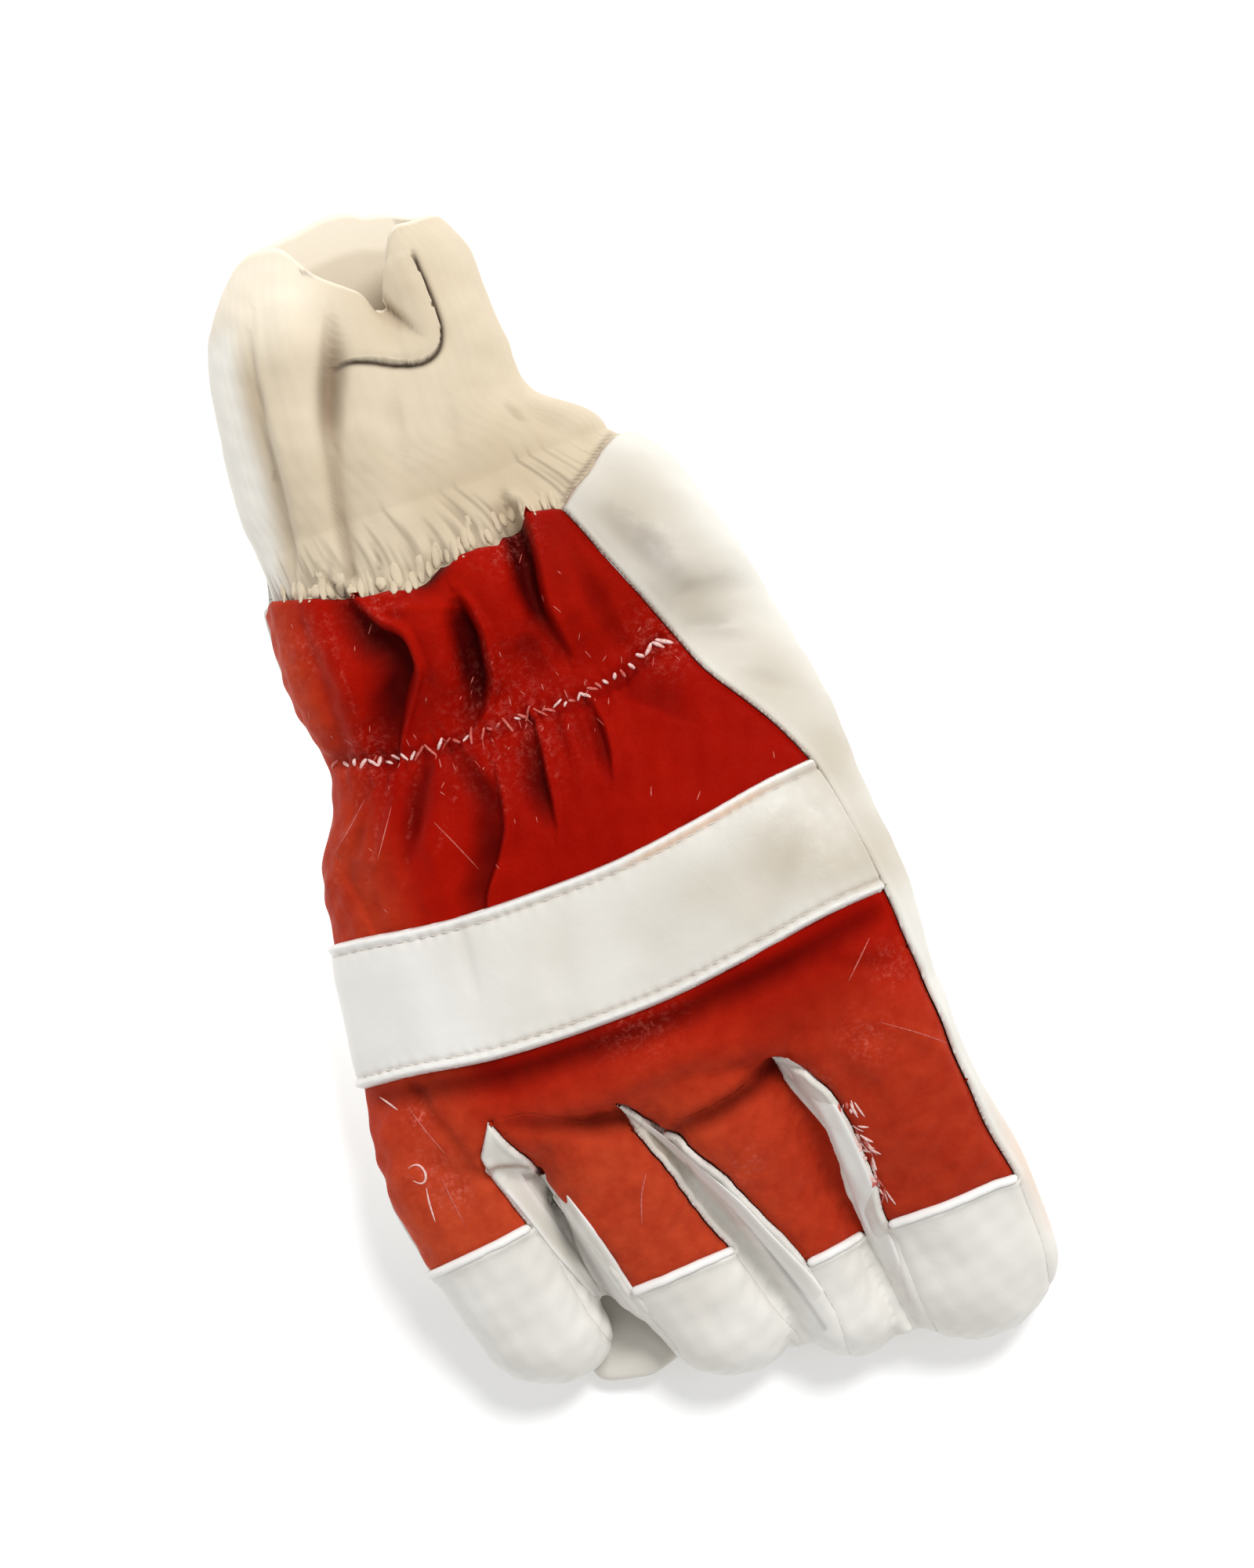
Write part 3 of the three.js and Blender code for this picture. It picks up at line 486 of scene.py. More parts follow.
def fold_depths(places, folds):
    """How far the folds press in at the places [x, y]."""
    depth = np.zeros(len(places))
    for deep, left, right, lip, points in folds:
        off, share = beside(places, points, 3.4 * max(left, right))
        taper = 0.55 + 0.45 * share
        u = np.where(off > 0, off / (left * taper), -off / (right * taper))
        pressed = np.exp(-(u**2.4)) - lip * np.exp(-(((u - 1.9) / 0.8) ** 2)) * (left != right) * (off > 0)
        depth += deep * share * pressed
    return depth


# The elastic's line across the wrist, as [x, y].
ZIGZAG_LINE = [
    (-43, 27), (-41, 26), (-33, 23.2), (-26, 22), (-10, 21.3), (10, 20.6), (20, 22), (28, 24.5), (31, 25.5),
]


def puckers(places, seed):
    """Short creases above and below the elastic."""
    made = np.random.default_rng(seed)
    folds = []
    for x in np.arange(-41, 31, 2.3):
        x += made.uniform(-0.7, 0.7)
        y = float(line(ZIGZAG_LINE, x))
        up, down = made.uniform(2, 6), made.uniform(2, 6)
        lean = made.uniform(-1.2, 1.2) - x * 0.02
        width = made.uniform(0.6, 0.95)
        depth = made.uniform(0.3, 0.8)
        folds.append((depth, width, width, 0, [(x + lean, y + up, 0), (x, y, 1), (x - lean, y - down, 0)]))
    return fold_depths(places, folds)


def ripple(places, pitch, seed):
    """A soft irregular wave over the places, from -1 to 1."""
    waves = np.random.default_rng(seed)
    total = np.zeros(len(places))
    for _ in range(7):
        angle = waves.uniform(0, 2 * np.pi)
        turn = waves.uniform(0, 2 * np.pi)
        length = pitch * waves.uniform(0.7, 1.5)
        across = places[:, 0] * math.cos(angle) + places[:, 1] * math.sin(angle) + 0.6 * places[:, 2]
        total += np.sin(2 * np.pi * across / length + turn)
    return total / 3.5


# Seams, as [y, x] or [x, y] points on the plan of the glove.
BACK_SEAM = [
    (-140, 60), (-128, 58), (-116, 59.2), (-102, 58.8), (-88, 56.8), (-76, 56.2), (-58, 55.6),
    (-36.7, 54.3), (-21.4, 52.4), (-7.5, 49.9), (8, 42.2), (16.6, 36.9), (25.7, 33.4), (42.9, 27),
    (57.4, 21.5), (66, 18), (80, 12),
]
SLITS = {
    "little_ring": [
        (-125, -22, -15), (-110, -29, -18.4), (-97, -32, -22.1), (-84, -34.4, -25.4), (-76, -36.8, -28.5),
        (-63.8, -40.6, -31.9), (-59.3, -41.2, -34.6), (-52.6, -37, -37),
    ],
    "ring_middle": [
        (-130, 8, 14), (-115, 5.2, 14.8), (-102, 1.6, 12.6), (-95.8, -0.1, 10.5), (-90, -2.1, 7.9),
        (-80, -5.2, 3.1), (-71, -7.9, -1.8), (-67.3, -9, -4.8), (-63, -10.5, -7.9), (-58.9, -11.8, -11.8),
    ],
    "middle_index": [
        (-132, 29.5, 33), (-118, 27.6, 31.8), (-98.5, 25.6, 31), (-92.8, 25.8, 31.8), (-86, 26.2, 31.4),
        (-78.4, 26.2, 30.8), (-72, 23.7, 29.5), (-66, 21.5, 26.5), (-61.5, 20.9, 20.9),
    ],
}
CREASE = [
    (-60, -50), (-37, -53), (-29.6, -54), (-18.5, -60.4), (-11.8, -61.5), (0, -66.4), (10, -65.6),
    (22, -62), (70, -60),
]
CAP_EDGES = {
    "little": [(-62, -78.6), (-57.3, -78.2), (-37.5, -76.3), (-33, -76)],
    "ring": [(-26, -96.2), (-21.8, -96), (-0.8, -95.5), (4, -95.4)],
    "middle": [(8, -104.2), (12.5, -103.7), (27.9, -101.7), (30, -101.4)],
    "index": [(28, -102), (30.4, -102), (59.2, -102.1), (64, -102.1)],
}
WRIST_EDGE = [
    (-60, 46), (-46, 51), (-44.4, 56), (-43.4, 58.8), (-42.2, 60.8), (-40.8, 61.4), (-39.4, 61),
    (-37, 60.2), (-30, 58), (-26, 56.6), (-22, 55.2), (-17, 54.6), (-13, 53.4), (-10, 54.2), (-6, 56.2),
    (-4, 55.6), (0, 55.9), (3, 56), (7, 55.4), (8.5, 57.4), (12, 59), (17, 59), (20, 58.4), (22, 58),
    (24, 60), (29, 62.5), (33, 66), (36.5, 67.8), (60, 70),
]
# How far the seam between the back and the palm lies under the middle of the hand, and of a finger.
SEAM_DROP = 0.08
STRIP_DROP = 0.2
# Where the thumb's panel ends: its highest z, its lowest y, and how far it stands out of the hand.
THUMB_TOP = 29
THUMB_END = -62
THUMB_CLEAR = 1.2
FINGERS = list(FINGER_SECTIONS)


def line(points, t):
    """A straight-sided line through [t, value] points."""
    table = np.array(sorted(points), float)
    return np.interp(t, table[:, 0], table[:, 1])


def nearest_finger(x, y):
    """For each place, the finger whose middle it lies nearest, and how far the place is up its side."""
    best = np.full(len(x), np.inf)
    which = np.zeros(len(x), int)
    middle = np.zeros(len(x))
    for n, name in enumerate(FINGERS):
        share = (hand_y(KNUCKLE_SHARE) - y) / FINGER_LENGTH[name]
        _, cx, cz, half, half_height = finger_at(name, np.clip(share, 0, 1))
        off = np.abs(x - cx) / half
        closer = off < best
        best[closer] = off[closer]
        which[closer] = n
        middle[closer] = (cz - STRIP_DROP * half_height)[closer]
    return which, middle


def slit_middle(rows, y):
    """The x of a slit's middle at y."""
    return np.interp(y, [r[0] for r in rows], [(r[1] + r[2]) / 2 for r in rows])


def seam_fields(verts):
    """Signed distances to every seam. Each is positive on the inner side that its name says."""
    x, y, z = verts.T
    across, _, height, _, _, roll = curve(HAND_SECTIONS, hand_share(y))
    tilt = (x - across * HAND_WIDTH) * np.tan(np.radians(roll))
    hand_low = height * PALM_HEIGHT + tilt - SEAM_DROP * HAND_THICKNESS
    which, finger_low = nearest_finger(x, y)
    mix = smoothstep(y, -68, -50)
    fields = {"above": z - (mix * hand_low + (1 - mix) * finger_low)}
    fields["inside"] = curve(BACK_SEAM, y)[0] - x
    for name, rows in SLITS.items():
        left, right = (np.interp(y, [r[0] for r in rows], [r[k] for r in rows]) for k in (1, 2))
        fields[name] = np.minimum(x - left, right - x) - 0.6 * np.clip(y - rows[-1][0], 0, None)
    fields["crease"] = y - curve(CREASE, x)[0]
    fields["cap"] = y - np.choose(which, [line(CAP_EDGES[name], x) for name in FINGERS])
    low = smoothstep(fields["above"], -9, -2)
    fields["wrist"] = low * line(WRIST_EDGE, x) + (1 - low) * WRIST_Y - y
    fields["thumb"] = np.minimum(outside_hand(verts) - THUMB_CLEAR, np.minimum(THUMB_TOP - z, y - THUMB_END))
    return fields


def outside_hand(verts):
    """How far places lie outside the hand's own tube, about, in millimetres."""
    x, y, z = verts.T
    across, half, height, rise, drop, roll = curve(HAND_SECTIONS, hand_share(y))
    cos, sin = np.cos(np.radians(roll)), np.sin(np.radians(roll))
    px, pz = x - across * HAND_WIDTH, z - height * PALM_HEIGHT
    side, up = px * cos + pz * sin, pz * cos - px * sin
    half = half * HAND_WIDTH
    tall = np.where(up > 0, rise, drop) * HAND_THICKNESS
    power = HAND_SQUARENESS
    round_out = (np.abs(side / half) ** power + np.abs(up / tall) ** power) ** (1 / power)
    return (round_out - 1) * tall


def split(state, tris, labels, name):
    """Cuts every triangle along the zero of one field. state holds arrays of values of the vertices."""
    value = state[name]
    value[np.abs(value) < 0.05] = 0
    sign = np.sign(value)
    corners = sign[tris]
    crossed = (corners.min(1) < 0) & (corners.max(1) > 0)
    cut, cut_labels = tris[crossed], labels[crossed]
    pairs = sides_of(cut)
    across = sign[pairs[:, 0]] * sign[pairs[:, 1]] < 0
    unique, inverse = np.unique(np.sort(pairs[across], axis=1), axis=0, return_inverse=True)
    a, b = unique.T
    share = value[a] / (value[a] - value[b])
    start = len(value)
    for key, array in state.items():
        weight = share.reshape(-1, *([1] * (array.ndim - 1)))
        state[key] = np.concatenate([array, array[a] * (1 - weight) + array[b] * weight])
    state[name][start:] = 0
    middle = np.full(len(pairs), -1)
    middle[across] = start + inverse.ravel()
    middle = middle.reshape(3, -1).T
    signs = sign[cut]
    zero = (signs == 0).any(1)
    first = np.where(zero, np.argmax(signs == 0, 1), np.argmax(signs == -np.sign(signs.sum(1))[:, None], 1))
    turn = (first[:, None] + np.arange(3)) % 3
    p, q, r = np.take_along_axis(cut, turn, 1).T
    n, m, o = np.take_along_axis(middle, turn, 1).T
    halves = [np.stack([p, q, m], 1)[zero], np.stack([p, m, r], 1)[zero]]
    thirds = [np.stack(t, 1)[~zero] for t in ([p, n, o], [n, q, r], [n, r, o])]
    made = [tris[~crossed], *halves, *thirds]
    made_labels = [labels[~crossed], *[cut_labels[zero]] * 2, *[cut_labels[~zero]] * 3]
    return np.concatenate(made), np.concatenate(made_labels)


def split_plain(state, tris, name):
    """The same for triangles without labels."""
    return split(state, tris, np.zeros(len(tris), int), name)[0]


def refined(verts, tris, fine):
    """Quarters the triangles between vertices that are marked fine, and halves their neighbours to match."""
    pairs = np.sort(np.stack([tris[:, [0, 1]], tris[:, [1, 2]], tris[:, [2, 0]]], 1), axis=2)
    marked = fine[pairs[..., 0]] & fine[pairs[..., 1]]
    unique, inverse = np.unique(pairs[marked], axis=0, return_inverse=True)
    middle = np.full(marked.shape, -1)
    middle[marked] = len(verts) + inverse.ravel()
    verts = np.concatenate([verts, verts[unique].mean(1)])
    count = marked.sum(1)
    (a, b, c), (d, e, f) = tris[count == 3].T, middle[count == 3].T
    made = [tris[count == 0]] + [np.stack(t, 1) for t in ((a, d, f), (d, b, e), (f, e, c), (d, e, f))]
    turn = (np.argmax(marked[count == 1], 1)[:, None] + np.arange(3)) % 3
    a, b, c = np.take_along_axis(tris[count == 1], turn, 1).T
    d = np.take_along_axis(middle[count == 1], turn, 1)[:, 0]
    made += [np.stack([a, d, c], 1), np.stack([d, b, c], 1)]
    return verts, np.concatenate(made)


def panel_names(state, tris):
    """The panel that each triangle belongs to."""
    at = {key: state[key][tris].mean(1) for key in state if state[key].ndim == 1}
    middle = state["verts"][tris].mean(1)
    centres = [slit_middle(rows, middle[:, 1]) for rows in SLITS.values()]
    which = sum((middle[:, 0] > c).astype(int) for c in centres)
    name = np.full(len(tris), "back_hand", dtype=object)
    for n, finger in enumerate(FINGERS):
        here = which == n
        if finger in ("ring", "middle"):
            name[here & (at["crease"] < 0)] = "back_" + finger
        name[here & (at["cap"] < 0) & (middle[:, 1] < CLEFT_START)] = "cap_" + finger
    for slit in SLITS:
        name[at[slit] > 0] = "fourchette_" + slit
    name[(at["above"] < 0) | (at["inside"] < 0)] = "palm"
    name[(at["thumb"] > 0) & (at["above"] < 0)] = "thumb"
    return name


def panel_edges(tris, names):
    """The edges between two panels, as vertex pairs, with the two panels' names."""
    pairs = np.sort(sides_of(tris), axis=1)
    owner = np.tile(np.arange(len(tris)), 3)
    order = np.lexsort((pairs[:, 1], pairs[:, 0]))
    pairs, owner = pairs[order], owner[order]
    same = np.all(pairs[1:] == pairs[:-1], axis=1)
    first, second = owner[:-1][same], owner[1:][same]
    differ = names[first] != names[second]
    return pairs[:-1][same][differ], names[first[differ]], names[second[differ]]


def outer_edges(tris):
    """The edges at the free border of a mesh, as vertex pairs."""
    unique, count = np.unique(np.sort(sides_of(tris), axis=1), axis=0, return_counts=True)
    return unique[count == 1]


# The distance given to vertices that lie far from an edge.
FAR_AWAY = 9.0


def distance_to(verts, edges, reach=5.0):
    """Each vertex's distance to the nearest of the edges, up to FAR_AWAY."""
    out = np.full(len(verts), FAR_AWAY)
    if len(edges) == 0:
        return out
    a, b = verts[edges[:, 0]], verts[edges[:, 1]]
    samples = np.concatenate([a + (b - a) * t for t in (0, 0.25, 0.5, 0.75, 1)])
    tree = KDTree(len(samples))
    for i, point in enumerate(samples):
        tree.insert(point, i)
    tree.balance()
    low, high = samples.min(0) - reach, samples.max(0) + reach
    for i in np.flatnonzero(np.all((verts > low) & (verts < high), axis=1)):
        out[i] = min(FAR_AWAY, tree.find(verts[i])[2])
    return out


def bump(distance, centre, width):
    """1 at a distance of centre, fading over width on both sides."""
    return np.exp(-(((distance - centre) / width) ** 2))


def chain(edges):
    """The vertices of the longest line of edges, in order."""
    neighbours = {}
    for a, b in edges:
        neighbours.setdefault(int(a), []).append(int(b))
        neighbours.setdefault(int(b), []).append(int(a))
    best = []
    unseen = set(neighbours)
    while unseen:
        ends = [v for v in unseen if len(neighbours[v]) == 1]
        at = min(ends or unseen)
        path = [at]
        unseen.discard(at)
        while True:
            ahead = [v for v in neighbours[at] if v in unseen]
            if not ahead:
                break
            at = ahead[0]
            path.append(at)
            unseen.discard(at)
        if len(path) > len(best):
            best = path
    return best


def resampled(points, step):
    """Points at even steps along a line, which is smoothed a little first."""
    points = rounded(np.array(points, float), 6)
    length = lengths_along(points)
    places = np.linspace(0, length[-1], max(2, int(round(length[-1] / step)) + 1))
    return np.stack([np.interp(places, length, column) for column in points.T], 1)


class Pile:
    """Points and faces of many small tubes, gathered into one mesh."""

    def __init__(self):
        self.points = []
        self.faces = []

    def tube(self, path, up, radius, flat=1.0, sides=8):
        """A closed tube along path. radius may vary along it, and flat is its height against its width."""
        path = np.asarray(path, float)
        up = np.broadcast_to(np.asarray(up, float), path.shape)
        radius = np.broadcast_to(radius, (len(path),))[:, None, None]
        ahead = unit(np.gradient(path, axis=0))
        aside = unit(np.cross(ahead, up))
        above = np.cross(aside, ahead)
        turn = 2 * np.pi * np.arange(sides)[None, :, None] / sides
        outwards = np.cos(turn) * aside[:, None] + flat * np.sin(turn) * above[:, None]
        rings = path[:, None] + radius * outwards
        points, faces = closed_tube(list(rings))
        start = len(self.points)
        self.points += points
        self.faces += [tuple(i + start for i in reversed(face)) for face in faces]

    def stitch(self, a, b, up, radius, rise):
        """One stitch from a to b, bowed up and sunk at its ends."""
        steps = np.linspace(0, 1, 6)
        path = a + steps[:, None] * (b - a) + up * (rise * np.sin(np.pi * steps) - 0.35 * radius)[:, None]
        self.tube(path, up, radius * (0.55 + 0.45 * np.sin(np.pi * steps)), sides=6)

    def object(self, name):
        """All the tubes as one object."""
        return new_object(name, new_mesh(name, self.points, self.faces))

    def declare_thread(self, name, slot, finish):
        """All the tubes as one declared piece with a finish of its own."""
        obj = self.object(name)
        obj["finish"] = finish
        declare(obj, slot)


# A height above the whole glove.
ABOVE_ALL = 120.0


class Surface:
    """The outside of several panels together, to lay things on."""

    def __init__(self, verts, tris):
        self.tree = BVHTree.FromPolygons(verts.tolist(), tris.tolist())

    def drop(self, x, y):
        """The point and the normal straight under a place, or None."""
        point, normal, _, _ = self.tree.ray_cast(Vector((x, y, ABOVE_ALL)), Vector((0, 0, -1)))
        if point is None:
            return None
        return np.array(point), np.array(normal)

    def drops(self, places):
        """The points and the normals under many places, without those that have none."""
        hits = [self.drop(x, y) for x, y in places]
        return [hit for hit in hits if hit is not None]

    def line(self, places, step):
        """Points and normals at even steps along a line over the surface."""
        hits = self.drops(places)
        points = resampled([hit[0] for hit in hits], step)
        tree = KDTree(len(hits))
        for i, hit in enumerate(hits):
            tree.insert(hit[0], i)
        tree.balance()
        return points, np.array([hits[tree.find(p)[1]][1] for p in points])


# Lines of colour over the panels: value, amount, half width, and the course as [x, y, share]. Most are
# painted shade, dark in the clefts between the fingers, in hollows and under the strap's lower edge. The wide
# light band over the fingertips is painted light; the grey and brown lines are partly dirt and partly painted
# shade; the rubbed lines are wear; the orange line is the leather's own tint.
SHADES = [
    ("deep", 3.2, 0.9, [
        (-33, -65, 0.3), (-30.5, -75, 0.8), (-28.7, -84, 1), (-27.5, -92, 1), (-26, -101, 0.6),
    ]),
    ("deep", 3, 0.6, [(2.4, -85, 0.3), (6, -95, 1), (8, -103, 1), (10, -110, 1), (11.6, -117, 0.8)]),
    ("tan", 0.8, 0.55, [(-42.2, -61.2, 0.7), (-38, -62.2, 1), (-33, -64, 0.8)]),
    ("dirt_and_shade", 0.7, 1.6, [(-9, -65, 0.5), (-6.5, -70, 1), (-3, -77, 0.6)]),
    ("tan", 0.35, 1.3, [(-8.5, -65.5, 0.4), (-6, -70.5, 1), (-2.6, -77, 0.3)]),
    ("deep", 1.3, 1.4, [(21.4, -63, 0.6), (23.4, -67, 1), (25, -73, 0.5)]),
    ("tan", 0.4, 0.5, [(30.8, -101, 1), (30.6, -108, 0.7), (29.6, -118, 0.5)]),
    ("deep", 1.4, 1.7, [(-33, -54.6, 0.3), (-24, -58, 0.8), (-17, -60.6, 1), (-11.6, -62, 0.9)]),
    ("deep", 1.4, 1.7, [(-3, -67.6, 0.6), (7, -67.2, 0.9), (15, -65.2, 1), (20.6, -63, 0.9)]),
    ("deep", 1.3, 2.2, [(-56, -40.5, 0.8), (-30, -44.6, 1), (0, -45.6, 1), (30, -43.4, 1), (52, -40, 0.8)]),
    ("deep", 2.2, 2.2, [(-14, 54, 0.5), (-9.5, 52.6, 1), (-5.6, 55, 0.9)]),
    ("deep", 1.1, 7, [(20, 54, 0.6), (25, 40, 1), (28, 27, 0.8), (30, 14, 0.4)]),
    ("deep", 0.7, 5, [(-24, 45, 0.6), (-24, 36, 1), (-29, 27, 0.8)]),
    ("deep", 0.8, 4, [(3, 36, 0.8), (5, 31, 1), (6, 25, 0.5)]),
    ("deep", 0.9, 3.4, [(-22, 18, 0.5), (-28, 10, 1), (-33, 2, 0.4)]),
    ("deep", 0.8, 3, [(-15, 17, 0.6), (-15, 8, 1), (-17, 0, 0.8)]),
    ("deep", 0.7, 5, [(-34, -10, 0.6), (-24, -9, 1), (-18, -10, 0.6)]),
    ("tan", 0.9, 0.5, [(22.2, 58, 1), (24.4, 60.2, 1), (29, 62.9, 1), (33, 66.2, 1), (36.5, 68, 0.6)]),
    ("deep", 0.6, 8, [(-47, -48, 0.6), (-45, -62, 1), (-42, -76, 0.8)]),
    ("deep", 0.5, 6, [(-12, 48, 0.8), (-13, 38, 1), (-15, 28, 0.6)]),
    ("deep", 0.8, 5, [(14.5, 56, 0.6), (15, 44, 1), (15, 32, 0.5)]),
    ("deep", 1.0, 5, [(25, 57, 0.7), (31, 50, 1), (36, 40, 0.8), (41, 30, 0.4)]),
    ("worn", 0.5, 0.5, [(-37, 19, 0.3), (-43, 11, 1), (-49, 3, 0.5)]),
    ("worn", 0.45, 0.6, [(-30, 20, 0.3), (-37, 10, 1), (-43, 0, 0.4)]),
    ("worn", 0.4, 0.5, [(-24, 20, 0.4), (-31, 8, 1), (-36, -3, 0.4)]),
    ("worn", 0.4, 0.5, [(-16, 19, 0.5), (-20, 10, 1), (-27, 2, 0.4)]),
    ("worn", 0.35, 0.6, [(-10.5, 18, 0.4), (-10, 8, 1), (-13, 0, 0.4)]),
    ("worn", 0.4, 0.5, [(2, 19, 0.5), (1.5, 12, 1), (1, 5, 0.3)]),
    ("worn", 0.35, 0.8, [(-52, 4, 0.4), (-54.5, -3, 1), (-52, -8, 0.6)]),
    ("worn", 0.35, 0.6, [(-31, 55, 0.3), (-32, 42, 1), (-33, 30, 0.4)]),
    ("worn", 0.3, 0.5, [(-2.5, 44, 0.3), (-3.4, 36, 1), (-4.5, 29, 0.5)]),
    ("painted_light", 0.45, 14, [(-50, -90, 1), (-10, -110, 1), (20, -112, 1), (46, -112, 1)]),
    ("dirt_and_shade", 0.35, 9, [(-24, -92, 0.6), (-22, -104, 1), (-16, -112, 0.6)]),
    ("tint", 0.35, 2.2, [(60.6, -84, 0.4), (61.6, -98, 1), (62.4, -114, 0.6)]),
]


def shades_of(verts):
    """The painted values of the panels, by name."""
    made = {}
    for name, amount, width, points in SHADES:
        off, share = beside(verts[:, :2], points, 4 * width)
        made.setdefault(name, np.zeros(len(verts)))
        made[name] += amount * share * bump(off, 0, width)
    return made


def add_values(mesh, values):
    """Stores values of the vertices as attributes, which the materials read."""
    for name, array in values.items():
        attribute = mesh.attributes.new(name, "FLOAT", "POINT")
        attribute.data.foreach_set("value", np.ascontiguousarray(array, np.float32))


def shell_object(name, verts, tris, thickness, values):
    """A panel as an object: its outside as given, thickened inwards."""
    used, local = np.unique(tris, return_inverse=True)
    mesh = new_mesh(name, verts[used], local.reshape(-1, 3))
    add_values(mesh, {key: array[used] for key, array in values.items()})
    obj = new_object(name, mesh)
    solid = obj.modifiers.new("thickness", "SOLIDIFY")
    solid.thickness = thickness * MM
    solid.offset = -1
    solid.use_rim_only = True
    return obj


def declare(obj, slot, *nodes):
    """Every piece rides on the only body, stands for its nodes and has its slot."""
    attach(obj, "root")
    if nodes:
        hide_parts(*nodes)
    obj.data.materials.append(MATERIALS[obj["finish"]] if "finish" in obj else MATERIALS[slot])


# Materials.
def linear(red, green, blue):
    """A colour from its values in the photograph, 0 to 255."""
    return [((c / 255 + 0.055) / 1.055) ** 2.4 if c > 10 else c / 3294.6 for c in (red, green, blue)] + [1]


class Finish:
    """A node material, with short calls for the nodes that it is made of."""

    def __init__(self, name):
        self.material = bpy.data.materials.new(name)
        self.material.use_nodes = True
        self.tree = self.material.node_tree
        self.shader = next(n for n in self.tree.nodes if n.type == "BSDF_PRINCIPLED")
        self.place = self.add("ShaderNodeTexCoord").outputs["Object"]

    def add(self, kind, **settings):
        """A new node."""
        node = self.tree.nodes.new(kind)
        for key, value in settings.items():
            setattr(node, key, value)
        return node

    def link(self, source, socket):
        """Feeds a socket from another socket, or with a plain value."""
        if hasattr(source, "is_output"):
            self.tree.links.new(source, socket)
        else:
            socket.default_value = source

    def value(self, name):
        """One of the mesh's attributes."""
        return self.add("ShaderNodeAttribute", attribute_name=name).outputs["Fac"]

    def noise(self, per_mm, detail=3.0, rough=0.55, distortion=0.0, stretch=None):
        """Soft noise, with so many cells per millimetre."""
        node = self.add("ShaderNodeTexNoise")
        place = self.place
        if stretch:
            mapping = self.add("ShaderNodeMapping")
            mapping.inputs["Scale"].default_value = stretch
            self.link(self.place, mapping.inputs["Vector"])
            place = mapping.outputs["Vector"]
        self.link(place, node.inputs["Vector"])
        node.inputs["Scale"].default_value = per_mm / MM
        node.inputs["Detail"].default_value = detail
        node.inputs["Roughness"].default_value = rough
        node.inputs["Distortion"].default_value = distortion
        return node.outputs["Fac"]

    def cells(self, per_mm):
        """The distance to the middle of the nearest of many small cells."""
        node = self.add("ShaderNodeTexVoronoi", feature="F1")
        self.link(self.place, node.inputs["Vector"])
        node.inputs["Scale"].default_value = per_mm / MM
        return node.outputs["Distance"]

    def wave(self, pitch_mm, turn_degrees, distortion=1.0):
        """Fine lines of a weave at one pitch and angle."""
        mapping = self.add("ShaderNodeMapping")
        mapping.inputs["Rotation"].default_value = (0, 0, math.radians(turn_degrees))
        self.link(self.place, mapping.inputs["Vector"])
        node = self.add("ShaderNodeTexWave")
        self.link(mapping.outputs["Vector"], node.inputs["Vector"])
        node.inputs["Scale"].default_value = 2 * math.pi / (20 * pitch_mm * MM)
        node.inputs["Distortion"].default_value = distortion
        node.inputs["Detail"].default_value = 1
        return node.outputs["Fac"]

    def ramp(self, source, low, high, to=(0.0, 1.0)):
        """The source, stretched from low and high to the two values of to."""
        node = self.add("ShaderNodeMapRange")
        self.link(source, node.inputs["Value"])
        node.inputs["From Min"].default_value = low
        node.inputs["From Max"].default_value = high
        node.inputs["To Min"].default_value = to[0]
        node.inputs["To Max"].default_value = to[1]
        return node.outputs["Result"]

    def math(self, operation, a, b):
        """A sum or a product of two values."""
        node = self.add("ShaderNodeMath", operation=operation)
        self.link(a, node.inputs[0])
        self.link(b, node.inputs[1])
        return node.outputs[0]

    def mix(self, share, a, b):
        """The colour a, with a share of b in it."""
        node = self.add("ShaderNodeMix", data_type="RGBA", blend_type="MIX")
        self.link(share, node.inputs["Factor"])
        self.link(a, node.inputs[6])
        self.link(b, node.inputs[7])
        return node.outputs[2]

    def bump(self, height, distance_mm, strength=1.0, normal=None):
        """The normal of a surface with this height, over another normal where one is given."""
        node = self.add("ShaderNodeBump")
        self.link(height, node.inputs["Height"])
        node.inputs["Distance"].default_value = distance_mm * MM
        node.inputs["Strength"].default_value = strength
        if normal is not None:
            self.link(normal, node.inputs["Normal"])
        return node.outputs["Normal"]

    def set(self, name, source):
        """Sets one input of the shader."""
        self.link(source, self.shader.inputs[name])


def canvas_finish():
    """Red canvas: mottled, with painted shade in its folds and painted light, lighter and more orange, where
    it is lit; rubbed lighter where it is worn; with a diagonal weave.
    """
    f = Finish("red_canvas")
    hue = f.ramp(f.noise(0.03, detail=2), 0.38, 0.62)
    base = f.mix(hue, linear(148, 10, 2), linear(163, 16, 3))
    # Painted light: lighter, more orange red on the lit left flank and the fingers.
    base = f.mix(f.value("orange_and_painted_light"), base, linear(196, 74, 42))
    mottle = f.ramp(f.noise(0.22, detail=5, rough=0.65), 0.35, 0.7)
    base = f.mix(f.math("MULTIPLY", mottle, 0.4), base, linear(134, 6, 4))
    thread = f.ramp(f.noise(2.2, detail=2), 0.4, 0.65)
    base = f.mix(f.math("MULTIPLY", thread, 0.08), base, linear(196, 34, 18))
    # Painted shade: the red goes near black where the folds press in and along the lines of painted shade.
    base = f.mix(f.ramp(f.value("deep"), 0.3, 3.6, (0.0, 0.92)), base, linear(58, 2, 3))
    rub = f.math("MULTIPLY", f.value("worn"), f.ramp(f.noise(0.7, detail=6, rough=0.8), 0.5, 0.68))
    base = f.mix(rub, base, linear(228, 120, 105))
    f.set("Base Color", base)
    f.set("Roughness", f.ramp(f.noise(0.3, detail=4), 0.3, 0.7, (0.5, 0.7)))
    f.set("Specular IOR Level", 0.08)
    f.set("Specular Tint", linear(255, 150, 120))
    weave = f.math("MULTIPLY", f.wave(0.62, 45, 1.5), f.wave(0.31, -45, 0.8))
    rough = f.bump(f.noise(0.4, detail=5, rough=0.6), 0.45, 0.5)
    f.set("Normal", f.bump(weave, 0.06, 0.4, rough))
    return f.material


